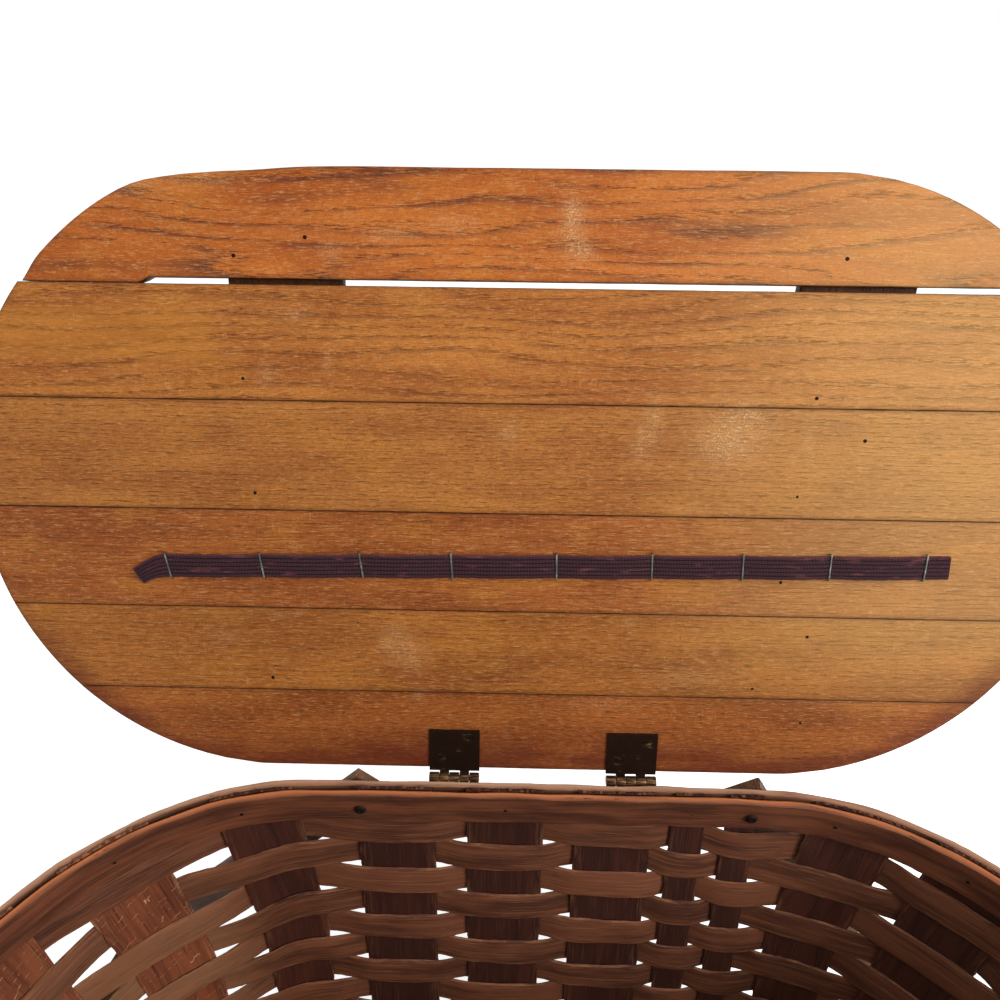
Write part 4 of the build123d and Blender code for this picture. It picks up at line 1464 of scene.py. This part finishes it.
    def build_boards(self, woods: Sequence[bpy.types.Material]) -> None:
        """Make the boards.

        Args:
            woods: Finish of each board, from the hinge out.
        """
        start = 0.0
        for number, (width, gap, wood) in enumerate(zip(self.widths, self.gaps, woods), start=1):
            cover = self.tight_cover * gap if gap < self.tight_gap else 0.0
            slab = Slab(start, start + width + cover, self.outer_face, self.inner_face, self.board_round_over)
            shape = slab.shape(self.ends, self.board_place, 599 + number, self.board_uneven, self.board_cupping,
                               self.paint)
            shape.hand_in(f"worn_board_{number}", wood, Body.LID, Slot.LID_WOOD, f"lid_board_{number}")
            start += width + gap

    def build_battens(self, wood: bpy.types.Material) -> None:
        """Make the two battens across the outside of the lid.

        Args:
            wood: Their finish.
        """
        half_long, half_wide = self.batten_length / 2, self.batten_width / 2
        for name, centre, tilt, seed in self.battens:
            slab = Slab(-half_wide, half_wide, self.outer_face - self.batten_thickness,
                        self.outer_face - self.batten_gap, 1.0, 80)
            shape = slab.shape(partial(straight_ends, -half_long, half_long),
                               partial(self.batten_place, centre, tilt), seed, self.batten_uneven)
            shape.hand_in(f"worn_{name}_batten", wood, Body.LID, Slot.LID_WOOD, f"{name}_lid_batten")

    def build_nails(self, iron: bpy.types.Material) -> None:
        """Make the battens' nails, with some points just proud of the inner face.

        Args:
            iron: Their finish.
        """
        shape = Shape()
        back = self.outer_face - self.batten_thickness
        rng = np.random.default_rng(self.nail_seed)
        for number, nail in enumerate(self.tip_places + self.hidden_places):
            stop = self.inner_face + (self.points_proud if number < len(self.tip_places) else -self.points_short)
            tip = float(rng.uniform(0.75, 1.05))
            rings = [(0.0, back - 0.45), (1.6, back - 0.42), (2.15, back - 0.15), (2.2, back + 0.5),
                     (1.0, back + 0.6), (tip, stop - 0.35), (tip * 0.8, stop - 0.08), (0.0, stop)]
            add_turned(shape, rings, partial(self.nail_place, nail), self.nail_sides)
        shape.hand_in("batten_nails_worn", iron, Body.LID, Slot.NAIL_STEEL, "batten_nails")


@dataclass
class Strap:
    """The elastic strap on the lid's inner face, and the wire staples that hold it."""

    lid: Lid
    width: float = 11.4
    thickness: float = 1.2
    bulge: float = 1.5
    lift: float = 0.12
    height: float = 108.6
    tilt: float = math.radians(0.85)
    right_end: float = 192.0
    step: float = 1.5
    curl_length: float = 14.5
    curl_drop: float = 5.6
    ribs: int = 6
    rib_height: float = 0.26
    ground: float = 0.25
    edge_thinning: float = 0.35
    end_narrowing: float = 0.22
    wave_height: float = 0.07
    wave_seed: int = 15
    threads: int = 42
    thread_seed: int = 33
    thread_half: float = 0.2
    staple_places: tuple[float, ...] = (-179, -134, -86.4, -43.3, 6.5, 51.6, 94.4, 135.4, 180)
    staple_tilts: tuple[float, ...] = (-12, -9.5, -9, -5, -2.5, -2, -2, -0.5, 1.5)
    wire: Pair = (0.414, 0.288)
    wire_sides: int = 8
    staple_margin: float = 0.8
    staple_depth: float = 4.0
    crown_height: float = 0.42

    def centre_line(self) -> tuple[Array, Array, Array]:
        """Places along the strap, from its curled left end.

        Returns:
            X, height up the lid, and distance out of the inner face.
        """
        staples = np.array(self.staple_places)
        along = np.arange(staples[0], self.right_end + 0.01, self.step)
        index = np.clip(np.searchsorted(staples, along, side="right") - 1, 0, len(staples) - 2)
        share = np.clip((along - staples[index]) / (staples[index + 1] - staples[index]), 0, 1)
        out = self.lift + (self.bulge - self.lift) * np.sin(np.pi * share) ** 0.8
        up = self.height + along * math.sin(self.tilt)
        bend = np.linspace(1.0, 0.0, 14)[:-1]
        return (np.concatenate([staples[0] - self.curl_length * bend, along]),
                np.concatenate([up[0] - self.curl_drop * bend ** 1.8, up]),
                np.concatenate([self.lift + 0.9 * np.sin(np.pi * bend * 0.8), out]))

    def build(self, elastic: bpy.types.Material, zinc: bpy.types.Material) -> None:
        """Make the strap and its staples.

        Args:
            elastic: Finish of the strap.
            zinc: Finish of the staples.
        """
        x, up, out = self.centre_line()
        count = len(x)
        heading = headings(np.stack([x, up], axis=-1))
        sides = np.linspace(-1, 1, 8 * self.ribs + 1)
        rib = np.abs(np.sin(np.pi * self.ribs * (sides + 1) / 2))
        half = self.width / 2 * (1 - self.end_narrowing * smoothstep(-181, -192, x))
        edge_wave = wander(x, 6, self.wave_height, np.random.default_rng(self.wave_seed))
        rows = []
        for face in (1, -1):
            for s, ridge in zip(sides[::face], self.rib_height * rib ** 0.7):
                full = self.thickness - self.ground + ridge if face > 0 else 0.0
                thick = full * (1 - self.edge_thinning * abs(s) ** 10)
                reach = half * s + edge_wave * np.sign(s) * abs(s) ** 4
                rows.append(self.lid.place(x - heading[:, 1] * reach, up + heading[:, 0] * reach,
                                           self.lid.inner_face + (out + thick)))
        across = np.tile(np.concatenate([sides, sides[::-1]]) * self.width / 2, (count, 1))
        shape = Shape()
        shape.add(np.stack(rows, axis=1).reshape(-1, 3), tube_faces(count, len(rows), mirrored=True),
                  stacked(x[:, None], across, 0.0).reshape(-1, 3),
                  edge=smoothstep(0.9, 1.0, np.abs(across) * 2 / self.width).ravel(),
                  rib=np.tile(np.concatenate([rib, rib]), count))
        self.add_threads(shape, np.array([x[0], up[0]]), heading[0])
        shape.hand_in("elastic_strap", elastic, Body.LID, Slot.STRAP_FABRIC, "utensil_strap", 55)
        self.build_staples(zinc)

    def add_threads(self, shape: Shape, end: Array, heading: Array) -> None:
        """Add the frayed threads of the strap's left end.

        Args:
            shape: The strap's shape.
            end: X and height up of the strap's end.
            heading: Direction of the strap there.
        """
        rng = np.random.default_rng(self.thread_seed)
        for _ in range(self.threads):
            side = rng.uniform(-1, 1) * self.width * 0.39
            root = end + np.array([-heading[1], heading[0]]) * side
            swing = rng.normal(0.0, 0.4)
            cos, sin = math.cos(swing), math.sin(swing)
            turned = np.array([heading[1] * sin - heading[0] * cos, -heading[0] * sin - heading[1] * cos])
            tip = root + turned * rng.uniform(0.8, 3.0)
            high = self.lid.inner_face + rng.uniform(0.3, 1.3)
            spread = np.array([-turned[1], turned[0]]) * self.thread_half
            start = root - turned * 0.6
            corners = [(*(start - spread), high), (*(start + spread), high), (*start, high - 0.2),
                       (*tip, high + rng.uniform(-0.2, 0.4))]
            shape.add(np.array([self.lid.place(*corner) for corner in corners]),
                      [(0, 1, 2), (1, 0, 3), (2, 1, 3), (0, 2, 3)], np.zeros((4, 3)), edge=2.0, rib=1.0)

    def build_staples(self, zinc: bpy.types.Material) -> None:
        """Make the wire staples, each a little crooked.

        Args:
            zinc: Their finish.
        """
        shape = Shape()
        inner = self.lid.inner_face
        half = self.width / 2 + self.staple_margin
        crown = inner + self.thickness + self.crown_height
        leg = [(-half, inner - self.staple_depth), (-half, crown - 0.7), (-half + 0.25, crown - 0.2),
               (-half + 0.8, crown)]
        back = [(s, crown + 0.05) for s in np.linspace(-half + 1.6, half - 1.6, 5)]
        route = np.array(leg + back + [(-s, depth) for s, depth in leg[::-1]])
        heading = headings(route)
        turns = np.arange(self.wire_sides) * 2 * math.pi / self.wire_sides
        thick = self.wire[1] * np.sin(turns)
        wide = self.wire[0] * np.cos(turns)
        side = route[:, :1] - thick * heading[:, 1:]
        depth = route[:, 1:] + thick * heading[:, :1]
        for place, tilt in zip(self.staple_places, self.staple_tilts):
            lean = math.radians(tilt) + self.tilt
            x = place + wide * math.cos(lean) + side * math.sin(lean)
            up = self.height + place * math.sin(self.tilt) + side * math.cos(lean) + wide * math.sin(lean)
            flat = self.lid.place(x, up, depth).reshape(-1, 3)
            shape.add(flat, tube_faces(len(route), self.wire_sides), flat)
        shape.hand_in("wire_staples", zinc, Body.LID, Slot.STAPLE_STEEL, "strap_staples")


@dataclass
class Bottom:
    """The boards of the bottom and the runners under them."""

    wall: Wall
    boards: tuple[str, ...] = ("back_base_board", "front_base_board")
    runners: tuple[str, ...] = ("back_runner", "middle_runner", "front_runner")
    board_lift: float = 0.05

    def round_ends(self, half_length: float, across: Array) -> tuple[Array, Array]:
        """Ends of a board that follow the wall's round ends.

        Args:
            half_length: Half the board's length.
            across: Places across the basket.

        Returns:
            The least and the greatest X at each place.
        """
        outline = self.wall.outline
        inset = outline.length / 2 - half_length
        radius, bow = outline.end_radius - inset, outline.bow_radius - inset
        round_reach = outline.end_centre + np.sqrt(np.maximum(0.0, radius ** 2 - across ** 2))
        bow_reach = outline.flat_half \
            + np.sqrt(np.maximum(0.0, bow ** 2 - (np.abs(across) - outline.bow_centre) ** 2))
        reach = np.where(np.abs(across) > radius * math.cos(outline.bow_turn), bow_reach, round_reach)
        return -reach, reach

    def build(self, wood: bpy.types.Material) -> None:
        """Make the boards and runners.

        Args:
            wood: Their finish.
        """
        for seed, node in enumerate(self.boards + self.runners, start=700):
            low, high = (np.array(corner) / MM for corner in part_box(node))
            if node in self.runners:
                slab = Slab(low[1], high[1], low[2], high[2], 1.2, 60)
                ends = partial(straight_ends, low[0], high[0])
            else:
                slab = Slab(low[1], high[1], low[2] + self.board_lift, high[2], 0.8, 120)
                ends = partial(self.round_ends, float(high[0]))
            shape = slab.shape(ends, stacked, seed, 0.2)
            shape.hand_in(f"worn_{node}", wood, Body.BASKET, Slot.BASE_WOOD, node)


@dataclass
class Metalwork:
    """The hinges, screws and nails, which keep the frame's own shapes."""

    leaves: tuple[str, ...] = ("left_lid_leaf", "right_lid_leaf", "left_rim_leaf", "right_rim_leaf")
    pins: tuple[str, ...] = ("hinge_pins",)
    screws: tuple[str, ...] = ("lid_hinge_screws", "rim_hinge_screws")
    nails: tuple[str, ...] = ("rim_nails", "base_nails")
    weld: float = 0.00001
    leaf_bevel: float = 0.18
    bevelled_above: float = math.radians(35)

    def build(self, leaf: bpy.types.Material, pin: bpy.types.Material, screw: bpy.types.Material,
              nail: bpy.types.Material) -> None:
        """Dress the frame's metal nodes.

        Args:
            leaf: Finish of the hinge leaves.
            pin: Finish of the pins.
            screw: Finish of the screws.
            nail: Finish of the nails.
        """
        for names, finish in ((self.leaves, leaf), (self.pins, pin), (self.screws, screw), (self.nails, nail)):
            for name in names:
                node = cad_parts[name]
                node.data.materials.clear()
                node.data.materials.append(finish)
                node.modifiers.new("Weld", "WELD").merge_threshold = self.weld
                if finish is leaf:
                    bevel = node.modifiers.new("Bevel", "BEVEL")
                    bevel.width = self.leaf_bevel * MM
                    bevel.segments = 2
                    bevel.limit_method = "ANGLE"
                    bevel.angle_limit = self.bevelled_above
                log.info("dressed %s", name)


@dataclass
class Rivets:
    """The handles' rivets, with small domed heads inside the rim and on the handles' legs."""

    wall: Wall
    radius: float = 2.0
    head_height: float = 1.3
    rim_depth: float = 9.6
    sides: int = 22
    dome: tuple[Pair, ...] = ((0.0, 0.0), (0.7, 0.28), (0.9, -0.12), (1.7, -0.3), (2.5, 0.05), (3.0, 0.75))

    def place(self, x: float, side: int, radius: float, angle: Array, distance: float) -> Array:
        """Places round a rivet.

        Args:
            x: The rivet's place along the basket.
            side: 1 at the back and -1 in front.
            radius: Distances from the rivet's middle.
            angle: Their directions.
            distance: Distances from the basket's middle plane.

        Returns:
            Places in the frame.
        """
        height = self.wall.rim_top - PIVOT_DROP
        return stacked(x + radius * np.cos(angle), side * distance, height + side * radius * np.sin(angle))

    def build(self, steel: bpy.types.Material) -> None:
        """Make the four rivets.

        Args:
            steel: Their finish.
        """
        outline = self.wall.outline
        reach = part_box("handle_rivets")[1].y / MM
        shape = Shape()
        for x in HANDLE_PIVOTS:
            sagitta = outline.bow_radius - math.sqrt(outline.bow_radius ** 2 - outline.past_flat(x) ** 2)
            inside = outline.width / 2 - sagitta - self.rim_depth
            rings = [(r, inside - self.head_height + d) for r, d in self.dome]
            rings += [(self.radius, inside), (self.radius, reach - self.head_height)]
            rings += [(r, reach - d * 0.8) for r, d in self.dome[:0:-1]] + [(0.0, reach - 0.2)]
            for side in (1, -1):
                add_turned(shape, rings, partial(self.place, x, side), self.sides)
        shape.hand_in("domed_rivets", steel, Body.BASKET, Slot.NAIL_STEEL, "handle_rivets")


@dataclass
class Studio:
    """Plain pale floor, soft light and the camera at the photograph's angle.

    Lamps have a name, a place and a size in metres, and a power in watts. The camera's place is
    from the middle of the rim's top.
    """

    camera_place: tuple[float, float, float] = (-16.586, -94.782, 325.6)
    pitch: float = math.radians(33.235)
    yaw: float = math.radians(-0.823)
    roll: float = math.radians(0.531)
    lens: float = 27.0
    floor_reach: float = 60.0
    floor_colour: tuple[float, ...] = (0.82, 0.82, 0.82, 1.0)
    floor_glow: float = 0.74
    ambient: float = 0.36
    aim: tuple[float, float, float] = (0.0, 0.08, 0.25)
    lamps: tuple[tuple[str, tuple[float, float, float], float, float], ...] = (
        ("key", (1.15, -0.75, 1.05), 0.9, 27.0), ("fill", (-1.25, -0.9, 1.1), 1.5, 3.0),
        ("top", (0.1, 0.0, 2.0), 1.4, 8.0))

    def build(self) -> None:
        """Make the floor, lamps, world and camera."""
        bpy.context.scene.view_settings.view_transform = "Standard"
        self.floor()
        self.light()
        self.world()
        self.camera()

    def put(self, name: str, data: bpy.types.ID) -> bpy.types.Object:
        """Put a new object into the scene.

        Args:
            name: Its name.
            data: Its mesh, lamp or camera.

        Returns:
            The object.
        """
        thing = bpy.data.objects.new(name, data)
        bpy.context.scene.collection.objects.link(thing)
        return thing

    @staticmethod
    def seen(nodes: Nodes, *rays: str) -> Value:
        """One for either of two kinds of ray, and zero for others."""
        path = nodes.new("ShaderNodeLightPath", {})
        return nodes.maths("MAXIMUM", *(path.outputs[ray] for ray in rays))

    def floor(self) -> None:
        """Make a wide pale floor that shows the object's shadow."""
        mesh = bpy.data.meshes.new("floor")
        corners = [(-1, -1), (1, -1), (1, 1), (-1, 1)]
        mesh.from_pydata([(x * self.floor_reach, y * self.floor_reach, 0) for x, y in corners], [], [(0, 1, 2, 3)])
        nodes = Nodes(bpy.data.materials.new("pale_floor"))
        matte = nodes.new("ShaderNodeBsdfDiffuse", {"Color": list(self.floor_colour)})
        strength = self.seen(nodes, "Is Camera Ray", "Is Glossy Ray") * self.floor_glow
        glow = nodes.new("ShaderNodeEmission", {"Strength": strength})
        both = nodes.new("ShaderNodeAddShader", {0: matte.outputs[0], 1: glow.outputs[0]})
        nodes.new("ShaderNodeOutputMaterial", {"Surface": both.outputs[0]})
        mesh.materials.append(nodes.owner)
        self.put("floor", mesh)

    def light(self) -> None:
        """Place a soft key from the upper right, a fill from the left and a soft top lamp."""
        for name, place, size, power in self.lamps:
            data = bpy.data.lights.new(name, "AREA")
            data.size = size
            data.energy = power
            lamp = self.put(name, data)
            lamp.location = place
            lamp.rotation_mode = "QUATERNION"
            lamp.rotation_quaternion = (Vector(self.aim) - Vector(place)).to_track_quat("-Z", "Y")

    def world(self) -> None:
        """Make even light from all round, white where the camera sees it."""
        world = bpy.data.worlds.new("studio")
        bpy.context.scene.world = world
        nodes = Nodes(world)
        strength = self.seen(nodes, "Is Camera Ray", "Is Transmission Ray") * (1 - self.ambient) + self.ambient
        back = nodes.new("ShaderNodeBackground", {"Color": [1.0, 1.0, 1.0, 1.0], "Strength": strength})
        nodes.new("ShaderNodeOutputWorld", {"Surface": back.outputs[0]})

    def camera(self) -> None:
        """Place the camera, turned by its pitch, yaw and roll."""
        level = math.cos(self.pitch)
        ahead = Vector((math.sin(self.yaw) * level, math.cos(self.yaw) * level, -math.sin(self.pitch)))
        right = Vector((math.cos(self.yaw), -math.sin(self.yaw), 0.0))
        down = ahead.cross(right)
        image_right = right * math.cos(self.roll) - down * math.sin(self.roll)
        image_down = right * math.sin(self.roll) + down * math.cos(self.roll)
        data = bpy.data.cameras.new("camera")
        data.lens = self.lens
        data.sensor_width = 36.0
        data.clip_start = 0.02
        data.clip_end = 200.0
        camera = self.put("camera", data)
        x, y, above = self.camera_place
        place = Vector((x, y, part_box("outer_rim_hoop")[1].z / MM + above)) * MM
        turn = Matrix((image_right, -image_down, -ahead)).transposed()
        camera.matrix_world = Matrix.Translation(place) @ turn.to_4x4()
        bpy.context.scene.camera = camera


BOARD_WOODS = (
    BoardWood("board_wood_1", (164, 90, 34), (126, 62, 20), (72, 31, 12), 2.6, 0.5, 0.55, gold=(176, 108, 42)),
    BoardWood("board_wood_2", (170, 102, 40), (136, 74, 28), (80, 38, 15), 2.4, 0.45, 0.55),
    BoardWood("board_wood_3", (164, 92, 38), (132, 66, 26), (78, 33, 14), 2.1, 0.35, 0.55),
    BoardWood("board_wood_4", (178, 112, 50), (144, 80, 33), (84, 42, 20), 2.2, 0.4, 0.6),
    BoardWood("board_wood_5", (186, 116, 50), (148, 80, 31), (86, 40, 20), 6.5, 0.9, 0.62, 0.5),
    BoardWood("board_wood_6", (190, 106, 40), (156, 76, 24), (84, 42, 32), 10.0, 1.5, 0.9, 0.75, 0.16,
              gold=(198, 124, 44)))
# The battens' very dark colour is partly painted shade, for how dark they look through the gap between the boards.
BATTEN_WOOD = BoardWood("batten_wood", (98, 54, 26), (74, 38, 18), (44, 22, 12), 3.6, 0.8, pale=(128, 84, 50),
                        gold=(106, 64, 30))
BASE_WOOD = BoardWood("bottom_wood", (128, 80, 44), (98, 58, 32), (60, 34, 20), 4.0, 0.8, 0.5, gold=(140, 92, 48))
WEAVER_WOOD = SplintWood("weaver_wood")
SIDE_WOOD = SplintWood("side_splint_wood", (48, 19, 10), (66, 29, 17), (92, 50, 32), fibres=0.3, fray=0.25)
# The left end's stakes: their paler colour is painted light, and their pale ticks are cracks in the splints.
END_WOOD = SplintWood("end_stake_wood", (88, 42, 24), (122, 64, 36), (136, 84, 54), (186, 138, 98), ticks=0.9,
                      fibres=0.35, fray=0.3)
OUTER_WOOD = SplintWood("outer_hoop_wood", (78, 46, 32), (126, 83, 59), sanding_and_highlight=(176, 131, 102))
INNER_WOOD = SplintWood("inner_hoop_wood", (72, 36, 22), (112, 62, 38), sanding_and_highlight=(180, 104, 58), fibres=0.4, fray=0.2)
HANDLE_WOOD = SplintWood("handle_strip_wood", (62, 40, 28), (98, 66, 44), (150, 112, 80), fibres=0.6)
NAIL_IRON = AgedMetal("nail_iron", (34, 24, 20), (84, 72, 62), 0.2, 0.5)
STAPLE_ZINC = AgedMetal("staple_zinc", (96, 100, 92), (150, 156, 146), 0.7)
RUSTY_STEEL = AgedMetal("rusty_steel", (40, 27, 21), (92, 76, 66), smooth=0.5)
PIN_BRASS = AgedMetal("pin_brass", (92, 68, 46), (206, 168, 112), 0.7, 0.28)
SCREW_BRONZE = AgedMetal("screw_bronze", (50, 33, 22), (140, 110, 78), 0.42, 0.3)


def main() -> None:
    """Build the basket's looks in order."""
    logging.basicConfig(level=logging.INFO, format="%(name)s %(message)s")
    wall = Wall()
    Weave(wall).build(WEAVER_WOOD.material())
    Stakes(wall).build(SIDE_WOOD.material(), END_WOOD.material())
    Rim(wall).build(OUTER_WOOD.material(), INNER_WOOD.material())
    Handles(wall).build(HANDLE_WOOD.material())
    Bottom(wall).build(BASE_WOOD.material())
    lid = Lid()
    lid.build_boards([wood.material() for wood in BOARD_WOODS])
    lid.build_battens(BATTEN_WOOD.material())
    lid.build_nails(NAIL_IRON.material())
    Strap(lid).build(Elastic("ribbed_elastic").material(), STAPLE_ZINC.material())
    rusty = RUSTY_STEEL.material()
    leaf = AgedMetal("leaf_bronze", (48, 29, 19), (150, 110, 72), 0.1, 0.32, knuckle=(lid.pin_y, lid.pin_z))
    Metalwork().build(leaf.material(), PIN_BRASS.material(), SCREW_BRONZE.material(), rusty)
    Rivets(wall).build(rusty)
    Studio().build()


if __name__ == "__main__":
    main()
